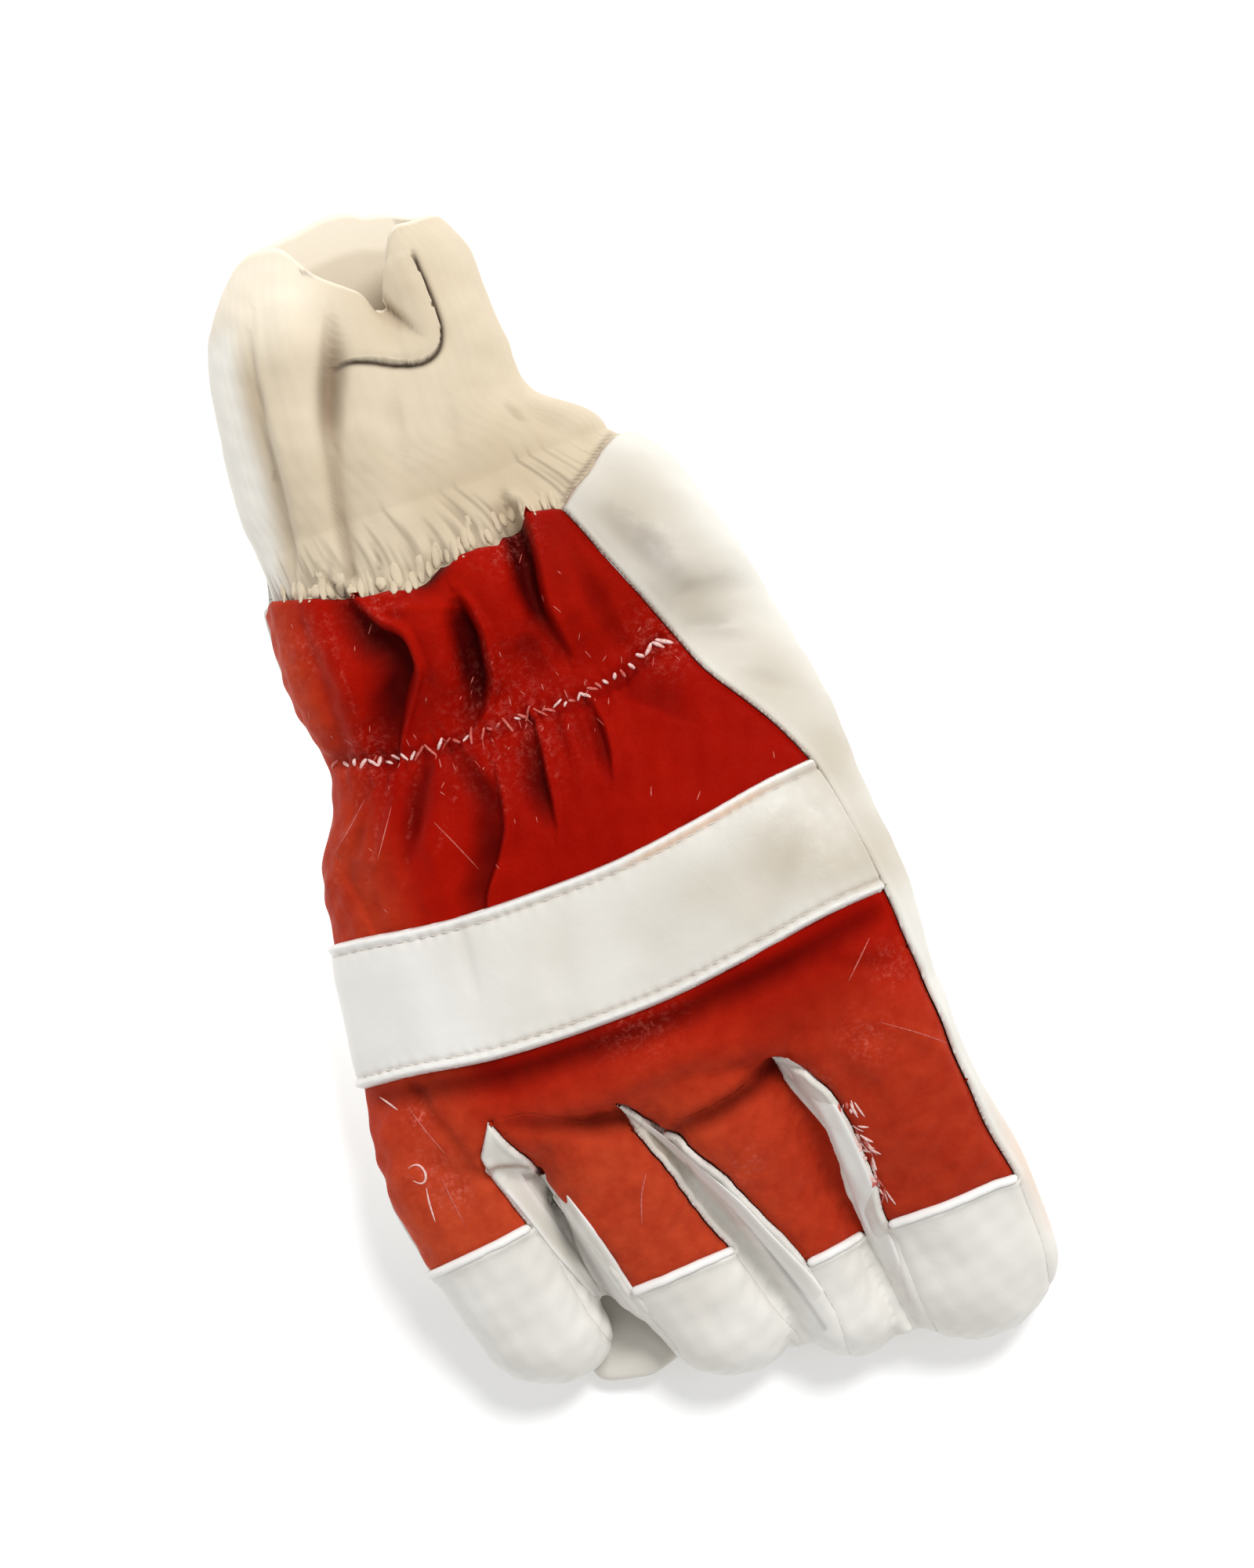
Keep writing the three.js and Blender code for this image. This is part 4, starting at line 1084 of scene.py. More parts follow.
def leather_finish():
    """White leather: cloudy, with a fine grain; greyed and browned where its attributes say, by dirt and
    stains and by painted shade; darkened with painted shade in its clefts and hollows; whiter with painted
    light on its rolled edges, welts and fingertips; tinted orange at some edges.
    """
    f = Finish("white_leather")
    cloud = f.ramp(f.noise(0.04, detail=3), 0.35, 0.65)
    base = f.mix(cloud, linear(219, 215, 206), linear(229, 226, 218))
    stain = f.ramp(f.noise(0.1, detail=5, rough=0.7), 0.58, 0.78)
    base = f.mix(f.math("MULTIPLY", stain, 0.16), base, linear(212, 204, 190))
    # Greyed by dirt, and by painted shade on the thumb's side, in the clefts and on the low web.
    base = f.mix(f.value("dirt_and_shade"), base, linear(190, 180, 162))
    # Brown: stains and seam lines, and painted shade in some folds and along the wrist's edge.
    base = f.mix(f.value("tan"), base, linear(150, 112, 84))
    base = f.mix(f.value("tint"), base, linear(232, 176, 132))
    # Painted shade in the clefts between the fingers, in hollows, under the strap and in its hems.
    base = f.mix(f.ramp(f.value("deep"), 0.2, 3.0, (0.0, 0.6)), base, linear(96, 84, 76))
    # Painted light: whiter on rolled edges, welts, strips, the fingertips and the strap's left part.
    base = f.mix(f.math("MULTIPLY", f.value("painted_light"), 0.7), base, linear(246, 245, 243))
    f.set("Base Color", base)
    f.set("Roughness", f.ramp(f.noise(0.4), 0.3, 0.7, (0.42, 0.56)))
    f.set("Specular IOR Level", 0.4)
    grain = f.math("ADD", f.math("MULTIPLY", f.cells(1.1), 0.4), f.noise(0.9, detail=4, rough=0.6))
    crease = f.bump(f.noise(0.12, detail=3, distortion=1.0), 0.5, 0.3)
    f.set("Normal", f.bump(grain, 0.1, 0.28, crease))
    return f.material


def knit_finish():
    """Cream knit: speckled and fuzzy, with lines of dirt and painted shadow, painted shade in its creases, a
    flank painted lighter, and an inside painted lighter near its rim and darker further in.
    """
    f = Finish("cream_knit")
    cloud = f.ramp(f.noise(0.04, detail=3), 0.35, 0.65)
    base = f.mix(cloud, linear(207, 191, 164), linear(217, 203, 178))
    speck = f.ramp(f.noise(1.4, detail=4, rough=0.75), 0.5, 0.72)
    base = f.mix(f.math("MULTIPLY", speck, 0.12), base, linear(196, 176, 148))
    # Painted light on the flank that faces left.
    base = f.mix(f.value("pale_painted_light"), base, linear(236, 232, 222))
    # Painted light: lighter and warmer on the far rim's top, at the rim and near the mouth inside.
    base = f.mix(f.value("warm_painted_light"), base, linear(250, 239, 219))
    # Brown: dirt low on the cuff and on the turned-back mouth, and painted shade further inside the mouth.
    base = f.mix(f.value("tan"), base, linear(176, 150, 114))
    # Painted shade in the knit's folds, pleats and gathers, and below the turned-back mouth.
    base = f.mix(f.ramp(f.value("deep"), 0.3, 4.2, (0.0, 0.75)), base, linear(118, 92, 68))
    # Dark brown lines: dirt, and painted shadow under the turned-back edge, along creases and in the slits
    # between gathered columns.
    base = f.mix(f.value("edge"), base, linear(52, 32, 16))
    f.set("Base Color", base)
    f.set("Roughness", 0.92)
    f.set("Specular IOR Level", 0.15)
    f.set("Sheen Weight", 0.15)
    f.set("Sheen Roughness", 0.6)
    f.set("Normal", f.bump(f.noise(1.8, detail=5, rough=0.8, stretch=(1.6, 0.5, 1)), 0.2, 0.35))
    return f.material


def thread_finish(name, colour, shade):
    """Thread that varies between two colours."""
    f = Finish(name)
    f.set("Base Color", f.mix(f.ramp(f.noise(1.5), 0.35, 0.65), colour, shade))
    f.set("Roughness", 0.6)
    f.set("Normal", f.bump(f.noise(4.0), 0.05, 0.5))
    return f.material


MATERIALS = {
    "red_canvas": canvas_finish(),
    "white_leather": leather_finish(),
    "cream_knit": knit_finish(),
    "pale_thread": thread_finish("pale_thread", linear(238, 214, 208), linear(224, 160, 150)),
    "pink_thread": thread_finish("pink_thread", linear(206, 110, 98), linear(186, 66, 54)),
    "pale_leather": thread_finish("pale_leather", linear(222, 218, 210), linear(206, 198, 186)),
}


# The hand: one skin, folded, then cut into panels.
# The skin is meshed finer where it is gathered at the wrist and along the clefts between the fingers.
GATHERS_END = -9
CLEFT_START = -60
CLEFT_END = -124
CLEFT_REACH = 7
# Distances from a seam at which the mesh gets a row of vertices of its own.
SEAM_ROWS = (0.5, 1.1, 2.0)
CANVAS_WALL = 1.3
PANEL_WALL = 1.6
WELT_RADIUS = 1.0


def build_panels():
    """The skin, folded and cut: the values of its vertices, its triangles and the panel of each."""
    verts, tris = fused_skin()
    verts = smoothed(verts, tris, 16)
    places = seam_fields(verts)
    x, y, _ = verts.T
    gathered = (places["above"] > 0) & (places["inside"] > -1) & (places["wrist"] > -1) & (y > GATHERS_END)
    to_cleft = np.min([np.abs(x - slit_middle(rows, y)) for rows in SLITS.values()], axis=0)
    forked = (places["above"] > -2) & (y < CLEFT_START) & (y > CLEFT_END) & (to_cleft < CLEFT_REACH)
    verts, tris = refined(verts, tris, gathered | forked)
    verts = smoothed(verts, tris, 4)
    verts[:, 2] = np.maximum(verts[:, 2], 0)
    normals = normals_of(verts, tris)
    state = seam_fields(verts)
    upper = smoothstep(normals[:, 2], 0.05, 0.5)
    canvas = smoothstep(state["above"], 0, 5) * smoothstep(state["inside"], 0, 3)
    fold = fold_depths(verts[:, :2], CANVAS_FOLDS) * canvas * upper
    dent = fold_depths(verts[:, :2], LEATHER_FOLDS) * (1 - canvas) * upper
    gather = puckers(verts[:, :2], 31) * canvas * upper
    wave = 0.3 * ripple(verts, 15, 3) + 0.2 * ripple(verts, 6, 5) * canvas - gather
    state["base"] = verts
    state["normals"] = normals
    # Painted shade, as strong as the folds and dents press in.
    state["deep"] = np.clip(fold + dent, 0, None)
    lifted = (fold + dent) - wave * smoothstep(verts[:, 2], 0.5, 6)
    state["verts"] = verts - normals * lifted[:, None]
    for name in ("wrist", "above", "inside", *SLITS, "crease", "cap", "thumb"):
        tris = split_plain(state, tris, name)
    tris = tris[state["wrist"][tris].mean(1) > 0]
    names = panel_names(state, tris)
    edges, _, _ = panel_edges(tris, names)
    state["near"] = distance_to(state["verts"], np.concatenate([edges, outer_edges(tris)]))
    for offset in SEAM_ROWS:
        state["offset"] = state["near"] - offset
        tris, names = split(state, tris, names, "offset")
    return state, tris, names


def is_leather(names):
    """Whether each of the panels is of leather."""
    return np.array([not name.startswith("back_") for name in names])


def patches(verts, table):
    """How strongly the vertices lie in soft round patches, from 0 to 1."""
    total = np.zeros(len(verts))
    for x, y, size, amount in table:
        total += amount * np.exp(-((verts[:, 0] - x) ** 2 + (verts[:, 1] - y) ** 2) / size**2)
    return np.clip(total, 0, 1)


# Rubbed patches of the canvas: x, y, radius and amount.
WORN = [
    (-50, -47, 2.5, 0.9), (-49, -64, 3.2, 0.9), (-52, -58, 5, 0.4), (-55, 6, 5, 0.4), (31, 26, 6, 0.5),
    (-4, 22, 12, 0.3), (-34, 24, 6, 0.4), (40, -64, 5, 0.4), (50, -52, 4, 0.4), (27, -70, 3, 0.9),
    (-20, 54, 5, 0.4), (8, 56, 6, 0.4), (-2, -44, 8, 0.3), (9, -80, 4, 0.4), (-38, 50, 6, 0.35),
]


# Greyed patches of the leather, as those of the canvas: partly dirt, and partly painted shade on the thumb's
# side, which is darker.
DIRT_AND_SHADE = [
    (33, 52, 12, 0.95), (40, 30, 11, 0.8), (48, 10, 10, 0.75), (55, -8, 10, 0.9), (59, -30, 10, 0.8),
    (38, -24, 10, 0.9), (20, -24, 8, 0.5), (27, -34, 6, 0.35), (8, -30, 9, 0.2), (-30, -18, 6, 0.25),
    (-12, -26, 9, 0.2), (48, -30, 6, 0.4), (-44, -94, 7, 0.25), (-10, -104, 7, 0.25), (42, -110, 7, 0.2),
    (22, -108, 6, 0.2),
]


def orange_and_light_of(verts):
    """Where the canvas is painted lighter and more orange, from 0 to 1: painted light on its lit left flank
    and on the fingers, along with some of the canvas's own uneven colour.
    """
    x, y, _ = verts.T
    left = smoothstep(-x, 31, 45)
    low = smoothstep(-y, 40, 72)
    middle = 0.35 * low * smoothstep(26 - x, 0, 30)
    return np.clip(left * (0.55 + 0.25 * smoothstep(y, 20, 45) - 0.4 * low) + 0.5 * low + middle, 0, 1)


def make_panels(state, tris, names):
    """Makes and declares every panel. Gives the panels' outsides, and the edges between them."""
    verts, normals = state["verts"], normals_of(state["verts"], tris)
    edges, first, second = panel_edges(tris, names)
    lapped = is_leather(first) != is_leather(second)
    to_lap = distance_to(verts, edges[lapped])
    folded = np.array([a.startswith("back_") and b.startswith("back_") for a, b in zip(first, second)])
    to_seam = distance_to(verts, edges[~lapped & ~folded])
    to_hem = distance_to(verts, outer_edges(tris))
    tips = 1 - 0.75 * smoothstep(-verts[:, 1], 60, 72) * smoothstep(verts[:, 2], 6, 12)
    sunk = tips * (0.9 * bump(to_seam, 0, 0.8) - 0.25 * bump(to_seam, 2, 1.2)) + 0.45 * bump(to_hem, 0, 0.5)
    over = 0.55 * bump(to_lap, 0, 0.3) - 0.5 * bump(to_lap, 0.9, 0.9)
    under = 0.8 * bump(to_lap, 0, 1.3)
    shades = shades_of(verts)
    # These values carry painted shade and painted light, beside dirt, wear and tint.
    values = {
        "deep": state["deep"] + shades["deep"],
        "worn": np.clip(patches(verts, WORN) + shades["worn"], 0, 1),
        "orange_and_painted_light": orange_and_light_of(verts),
        "dirt_and_shade": patches(verts, DIRT_AND_SHADE) + shades["dirt_and_shade"],
        "tan": shades["tan"],
        "tint": shades["tint"],
        "painted_light": shades["painted_light"],
    }
    outside = []
    for name in sorted(set(names)):
        mine = tris[names == name]
        canvas = name.startswith("back_")
        placed = verts - normals * (sunk + (under if canvas else over))[:, None]
        placed[:, 2] = np.maximum(placed[:, 2], 0)
        obj = shell_object("visual_" + name, placed, mine, CANVAS_WALL if canvas else PANEL_WALL, values)
        declare(obj, "red_canvas" if canvas else "white_leather", name)
        outside.append((placed, mine))
    return outside, (edges, first, second)


def joined_surface(parts):
    """The outsides of several parts as one surface."""
    verts, tris, start = [], [], 0
    for points, faces in parts:
        verts.append(points)
        tris.append(faces + start)
        start += len(points)
    return Surface(np.concatenate(verts), np.concatenate(tris))


# The strap: the skin again, lifted clear of the canvas, cut to its own outline and hemmed on both sides.
STRAP_LIFT = 1.7
STRAP_HEM = 2.4
STRAP_WALL = 1.4
# How far short of the seams the strap ends.
STRAP_SHORT = 0.3
# How far the strap's long edges sag: [across the hand, share of its width].
STRAP_SAG = [
    (-0.6, 0), (-0.42, 0.03), (-0.25, 0.135), (-0.08, 0.17), (0.05, 0.165), (0.2, 0.1), (0.34, 0.02),
    (0.6, 0),
]
STRAP_FOLDS = [
    (0.5, 1.2, 2.6, 0, [(-27.6, -13, 0.7), (-28.4, -20, 1), (-29, -28, 0.3)]),
    (0.7, 4, 4, 0, [(41, -18, 0.4), (33, -28, 1), (25, -40, 0.6)]),
    (-0.5, 5, 5, 0, [(22, -14, 0.4), (14, -26, 1), (8, -40, 0.4)]),
    (0.5, 4, 4, 0, [(-8, -15, 0.4), (-12, -28, 1), (-14, -41, 0.4)]),
    (-0.5, 4, 4, 0, [(-40, -13, 0.6), (-42, -25, 1), (-43, -38, 0.6)]),
    (0.4, 2, 2, 0, [(44, -9, 0.6), (47, -20, 1), (49, -34, 0.6)]),
]


def strap_top(x):
    """The y of the strap's upper long edge at x."""
    return STRAP_TOP_Y - curve(STRAP_SAG, x / HAND_WIDTH)[0] * STRAP_WIDTH


def make_strap(state, tris):
    """Gives its outside."""
    own = {key: state[key].copy() for key in ("above", "inside", "normals")}
    own["verts"] = state["base"].copy()
    x, y, _ = own["verts"].T
    own["top"] = strap_top(x) - y
    ends = np.minimum(own["above"] - STRAP_SHORT, 0.95 * own["inside"] - 0.35)
    own["strap"] = np.minimum(np.minimum(own["top"], STRAP_WIDTH - own["top"]), ends)
    tris = split_plain(own, tris, "strap")
    tris = tris[own["strap"][tris].mean(1) > 0]
    for offset in (0.35, 0.8, 1.5, STRAP_HEM - 0.3, STRAP_HEM, STRAP_HEM + 0.3):
        for low in (offset, STRAP_WIDTH - offset):
            own["offset"] = own["top"] - low
            tris = split_plain(own, tris, "offset")
    own["end"] = distance_to(own["verts"], outer_edges(tris), reach=4)
    hem = np.minimum(own["top"], STRAP_WIDTH - own["top"])
    x, y, _ = own["verts"].T
    rolled = 0.35 * bump(hem, 1.0, 0.6) - 0.9 * bump(hem, 0, 0.35) - 0.5 * bump(own["end"], 0, 0.35)
    puff = rolled - 0.3 * bump(hem, STRAP_HEM, 0.4) + 0.3 * smoothstep(hem, STRAP_HEM, 8)
    pucker = 0.12 * np.sin(x * 2.1 + 2 * np.sin(x * 0.37)) * bump(hem, STRAP_HEM, 1.4)
    sway = 0.3 * ripple(own["verts"], 26, 9)
    lift = STRAP_LIFT + puff + pucker + sway - fold_depths(own["verts"][:, :2], STRAP_FOLDS)
    placed = own["verts"] + own["normals"] * lift[:, None]
    tint = bump(own["top"], 1.9, 0.7) * smoothstep(x, 4, 14) * smoothstep(-x, -46, -34)
    # The strap's values: painted shade in the groove of each hem, painted light on the rolled hems and more
    # on the strap's left part, brown partly stain and partly painted shade along the stitches, an ochre tint
    # under the top hem, and the leather's dirt and painted shade.
    values = {
        "deep": 0.7 * bump(hem, STRAP_HEM, 0.35),
        "tan": 0.25 * bump(hem, STRAP_HEM, 0.5),
        "tint": 0.5 * tint,
        "painted_light": np.maximum(bump(hem, 0.6, 0.6), 0.55 * smoothstep(-x, 12, 40)),
        "dirt_and_shade": patches(placed, DIRT_AND_SHADE),
    }
    obj = shell_object("visual_knuckle_strap", placed, tris, STRAP_WALL, values)
    declare(obj, "white_leather", "knuckle_strap")
    return placed, tris


def make_welts(state, shared_edges, surface):
    edges, first, second = shared_edges
    for name in FINGERS:
        cap = "cap_" + name
        back = "back_" + name if name in ("ring", "middle") else "back_hand"
        here = ((first == cap) & (second == back)) | ((first == back) & (second == cap))
        path = state["verts"][chain(edges[here])]
        if path[0, 0] > path[-1, 0]:
            path = path[::-1]
        path = resampled(path, 0.7)
        up = np.array([surface.tree.find_nearest(Vector(p))[1] for p in path])
        count = np.arange(len(path))
        ends = np.minimum(1, np.minimum(count, count[::-1]) / 2 + 0.35)
        pile = Pile()
        pile.tube(path + up * 0.35, up, WELT_RADIUS * ends, flat=0.75, sides=12)
        obj = pile.object("visual_welt_" + name)
        # Painted light: the raised welts are whitened all over.
        add_values(obj.data, {"painted_light": np.ones(len(pile.points))})
        declare(obj, "white_leather", "welt_" + name)


# How far down the strips' sides reach.
STRIP_DEPTH = 1.4
# Strips of leather over the clefts between the fingers: lift, then both edges as [x, y].
STRIPS = {
    "ring_middle": (
        0.7,
        [(-12.2, -58), (-5.4, -67), (0, -77), (5, -86), (8, -94), (11, -101), (14, -108), (15.4, -117)],
        [
            (-11.6, -58.6), (-6.6, -67.6), (-2.6, -76), (1.6, -84), (4.6, -92), (7.4, -100), (10, -108),
            (12, -116.6),
        ],
    ),
    "little": (
        0.55,
        [(-41.8, -61), (-39.4, -66), (-36.5, -75), (-34, -84), (-31.5, -91), (-28.6, -99)],
        [(-34.6, -61.8), (-34.6, -66), (-32.2, -75), (-30.2, -84), (-28.8, -92), (-27.4, -99.6)],
    ),
    "ring": (
        0.6,
        [(-31.6, -67), (-30.6, -70), (-28, -80), (-26, -90), (-24, -98), (-20.6, -108)],
        [(-29.8, -67), (-28.2, -70), (-25, -80), (-23, -89), (-21.6, -97), (-18.4, -107)],
    ),
    "middle_index": (
        1.1,
        [(21.2, -61.8), (25.2, -70.6), (26.6, -78), (26.5, -88), (26.3, -99), (27, -108), (28.4, -117)],
        [(23.4, -61.2), (28.6, -68), (30.4, -77), (31.2, -86), (31.2, -99), (30.8, -108), (30.2, -117)],
    ),
}


# The low fold of leather between the little and the ring finger: y, x and half width.
LOW_WEB = [
    (-86, -28.5, 4), (-96, -28, 6), (-102, -27.4, 8), (-107, -26.8, 9.4), (-110.6, -26.2, 9.6),
    (-112.8, -25.6, 8.6), (-113.8, -25.2, 5), (-114, -25, 1.5),
]


def make_low_web():
    rows = course_of(LOW_WEB)[0]
    rings = [ring(y, 60, x, 3.6, half, 3.4, 3.6) for y, x, half in rows]
    points, faces = closed_tube(rings)
    points = np.array(points)
    points[:, 2] += 0.3 * ripple(points, 8, 43) * smoothstep(points[:, 2], 1, 5)
    points[:, 2] = np.maximum(points[:, 2], 0.05)
    mesh = new_mesh("low_web", points, faces)
    # Painted shade: the low web is greyed, and darker further up the cleft.
    add_values(mesh, {"dirt_and_shade": np.full(len(points), 0.12), "deep": 1.5 * smoothstep(points[:, 1], -112, -98)})
    declare(new_object("low_web", mesh), "white_leather")


def make_strips(surface):
    """Each strip spans its cleft from edge to edge, a little bowed, with rolled edges."""
    across = np.linspace(0, 1, 13)
    bow = np.sqrt(np.clip(1 - (2 * across - 1) ** 4, 0, 1))
    for name, (lift, left, right) in STRIPS.items():
        edges = [course_of(side)[0] for side in (left, right)]
        shares, ends = [], []
        for t in np.linspace(0, 1, 90):
            hits = []
            for side in edges:
                at = t * (len(side) - 1)
                i = min(int(at), len(side) - 2)
                hits.append(surface.drop(*(side[i] + (at - i) * (side[i + 1] - side[i]))))
            if None not in hits:
                shares.append(t)
                ends.append([hit[0] for hit in hits])
        ends = rounded(np.array(ends), 25)
        tops, unders, rims = [], [], []
        for t, (a, b) in zip(shares, ends):
            width = np.linalg.norm(b[:2] - a[:2])
            row = a + across[:, None] * (b - a)
            fade = math.sin(math.pi * min(1, 3 * min(t, 1 - t)) / 2)
            rise = (lift + 0.06 * width) * fade * bow + 0.2 - 0.8 * (1 - fade)
            tops.append(row + np.array([0, 0, 1]) * rise[:, None])
            unders.append(row - np.array([0, 0, STRIP_DEPTH]))
            rims.append(np.minimum(across, 1 - across) * width)
        points, faces = closed_tube([np.concatenate([top, under[::-1]]) for top, under in zip(tops, unders)])
        points = np.array(points)
        if name != "little":
            points[:, 2] += 0.25 * ripple(points, 7, 41)
        mesh = new_mesh("strip_" + name, points, [face[::-1] for face in faces])
        rim = np.concatenate([np.concatenate([r, r]) for r in rims] + [np.zeros(2)])
        # Painted light on the strips' rolled rims and across the middles of the two middle strips; the other
        # middles are greyed by dirt and painted shade.
        flat = 1 - bump(rim, 0, 0.9)
        pale_painted_light = {"middle_index": 0.6, "ring_middle": 0.3}.get(name, 0)
        add_values(mesh, {"painted_light": 0.8 - (0.8 - pale_painted_light) * flat, "dirt_and_shade": (0.3 - 0.3 * pale_painted_light) * flat})
        declare(new_object("strip_" + name, mesh), "white_leather")


# The cuff: a double wall of knit, gathered where it is sewn in, with its mouth turned back over it.
# Where the cuff's roll meets its flank, which is painted light, and all its folds, as those of the canvas.
KNIT_BORDER = [
    (-23.6, 118, 0.1), (-26, 112, 0.4), (-28.6, 105, 0.8), (-30, 95, 1), (-30.6, 85, 1), (-31.6, 78, 0.9),
    (-33.6, 68, 0.7), (-37.6, 60, 0.5),
]
KNIT_FOLDS = [
    (4.6, 3.4, 1.7, 0, [
        (-9, 112, 0.1), (-10.6, 107, 0.5), (-12.2, 102.5, 0.9), (-14.6, 98, 1), (-17, 92, 0.9),
        (-18.4, 87, 0.55), (-20, 80, 0.35), (-21, 75, 0.3), (-22.4, 68, 0.3), (-23.6, 61, 0.3),
    ]),
    (1.0, 0.8, 0.8, 0, [(-19, 84, 0.3), (-20.8, 76, 0.8), (-22.4, 68, 1), (-23.6, 61, 1)]),
    (-2.0, 4.6, 4.6, 0, [
        (-17, 116, 0.4), (-19.6, 106, 0.9), (-23, 95, 1), (-25, 84, 0.9), (-27, 72, 0.7), (-30, 60, 0.4),
    ]),
    (1.9, 1.6, 5, 0.25, KNIT_BORDER),
    (0.5, 0.8, 1.4, 0, [(-25.5, 114, 0.3), (-27.6, 100, 1), (-28, 88, 0.4)]),
    (0.8, 1.3, 1.3, 0, [(18.4, 82.5, 0.3), (19.2, 80, 1), (20.5, 76, 0.3)]),
    (0.9, 1.2, 4, 0, [(-1.2, 93, 0.4), (-3, 87, 1), (-4.6, 80, 0.4)]),
    (0.7, 1.2, 3.6, 0, [(8, 86, 0.4), (6.6, 81, 1), (5.4, 75, 0.3)]),
    (-1, 4, 4, 0, [(15.5, 118, 0.4), (16.5, 104, 1), (16, 90, 0.5)]),
    (1.2, 3, 3, 0, [(21, 84, 0.4), (26, 76, 1), (31, 70, 0.4)]),
    (-0.9, 4, 4, 0, [(-8, 92, 0.4), (-11, 80, 1), (-12, 68, 0.5)]),
    (1.6, 1.1, 2.4, 0, [(2.4, 109.4, 1), (5, 104.5, 0.8), (7.4, 100.3, 0.1)]),
]
# The free edge of the mouth's turned-back part, with the share of its lift.
LAPEL_EDGE = [
    (11, 118.4, 0), (11, 116, 0.6), (11.3, 111, 0.95), (11.3, 104, 1), (11, 100.5, 1), (10.1, 98, 1),
    (8.5, 96.4, 1), (6, 95.7, 1), (3.5, 96.1, 1), (0, 97.4, 1), (-4, 99.7, 0.85), (-8, 101.4, 0.6),
    (-11, 102, 0.3), (-12.5, 102.2, 0),
]
LAPEL_LIFT = 2.3
LAPEL_WALL = 0.9
# Lines of dirt and shadow drawn on the knit: amount, half width and course.
KNIT_LINES = [
    (0.65, 0.35, [(2.4, 109.6, 1), (4.8, 105, 0.8), (7.4, 100.2, 0.2)]),
    (0.55, 0.4, [(-10.8, 121.6, 1), (-8.6, 120, 0.9), (-6.4, 117.8, 0.2)]),
    (0.2, 0.8, [(-18, 90, 0.2), (-20.6, 79, 0.8), (-22.6, 70, 1), (-24, 61, 0.8)]),
    (0.25, 0.5, [(-30, 98, 0.3), (-30.4, 90, 1), (-31, 84, 0.8)]),
    (0.45, 0.5, [(-31.8, 84.4, 0.6), (-31, 85.4, 1), (-30.6, 86.4, 0.5)]),
    (0.6, 0.45, [(22, 58.8, 1), (24.4, 61, 1), (29, 63.6, 1), (33, 66.8, 1), (36.6, 68.8, 0.7)]),
    (0.2, 0.9, [(18.6, 81.4, 0.6), (19.2, 80, 1), (20, 78, 0.6)]),
    (0.3, 0.45, [(-33, 63, 0.4), (-34, 61, 1), (-35, 59, 1)]),
    (0.5, 0.5, [(-28.6, 64.6, 0.4), (-30, 62, 1), (-31.4, 59.6, 1)]),
    (0.5, 0.5, [(-25.6, 65.6, 0.4), (-27, 61.6, 1), (-28.4, 57.6, 1)]),
    (0.5, 0.45, [(-17, 64.6, 0.4), (-16.8, 62, 1), (-17.4, 59.4, 1)]),
    (0.4, 0.5, [(-12, 63, 0.3), (-11.6, 59, 1), (-11.8, 56, 1)]),
    (0.5, 0.7, [(-5.6, 62, 0.2), (-5.4, 59, 1), (-5.4, 56.6, 1)]),
    (0.4, 0.5, [(5, 62, 0.2), (5.6, 59, 1), (6.6, 57, 1)]),
    (0.4, 0.5, [(12, 66, 0.2), (11.6, 63, 1), (11, 60, 1)]),
]


def cuff_rings(grow):
    """One wall of the cuff, grown outwards by grow: its points, and how far along it each of them is."""
    rings, shares = [], []
    over = np.sin(2 * np.pi * np.arange(CUFF_POINTS) / CUFF_POINTS) >= 0
    for share in np.linspace(0, 1, CUFF_RINGS):
        across, half, height, half_height = curve(CUFF_SECTIONS, share)
        x, half_width = across * CUFF_WIDTH, half * CUFF_WIDTH
        rise = half_height * CUFF_THICKNESS + grow
        y = BACK_EDGE_Y - CUFF_TUCK + share * CUFF_LENGTH
        lining = grow - LEATHER_WALL - CUFF_GAP
        sewn = hand_ring(max(0, hand_share(y)), lining, CUFF_POINTS)
        free = ring(0, CUFF_POINTS, x, height * CUFF_THICKNESS, half_width + grow, rise, rise, floor=-grow)
        points = sewn + smoothstep(share, 0.25, 0.44) * (free - sewn)
        side = np.clip((points[:, 0] - x) / half_width, -1, 1)
        top, under = curve(MOUTH, side)
        points[:, 1] = y - share**2 * np.where(over, top, under) * CUFF_LENGTH
        floor = -grow if y > WRIST_Y + CUFF_GAP else -lining
        points[:, 2] = np.maximum(points[:, 2], floor)
        rings.append(points)
        shares.append(np.full(CUFF_POINTS, share))
    return np.concatenate(rings), np.concatenate(shares)


def grid_tris(rows, columns):
    """The triangles between rows of points, each row closed to a ring."""
    i, j = np.meshgrid(np.arange(rows - 1), np.arange(columns), indexing="ij")
    k = (j + 1) % columns
    a, b = (i * columns + j).ravel(), (i * columns + k).ravel()
    c, d = b + columns, a + columns
    return np.concatenate([np.stack([a, b, c], 1), np.stack([a, c, d], 1)])


def rim_tris(last, inner, middle):
    """The triangles round both ends of the cuff's two walls, from the first points of their last rings."""
    j = np.arange(CUFF_POINTS)
    k = (j + 1) % CUFF_POINTS
    mouth = [
        (last + j, middle + k, last + k), (last + j, middle + j, middle + k),
        (middle + j, inner + last + k, middle + k), (middle + j, inner + last + j, inner + last + k),
    ]
    sewn = [(k, inner + j, j), (k, inner + k, inner + j)]
    return np.concatenate([np.stack(corners, 1) for corners in mouth + sewn])


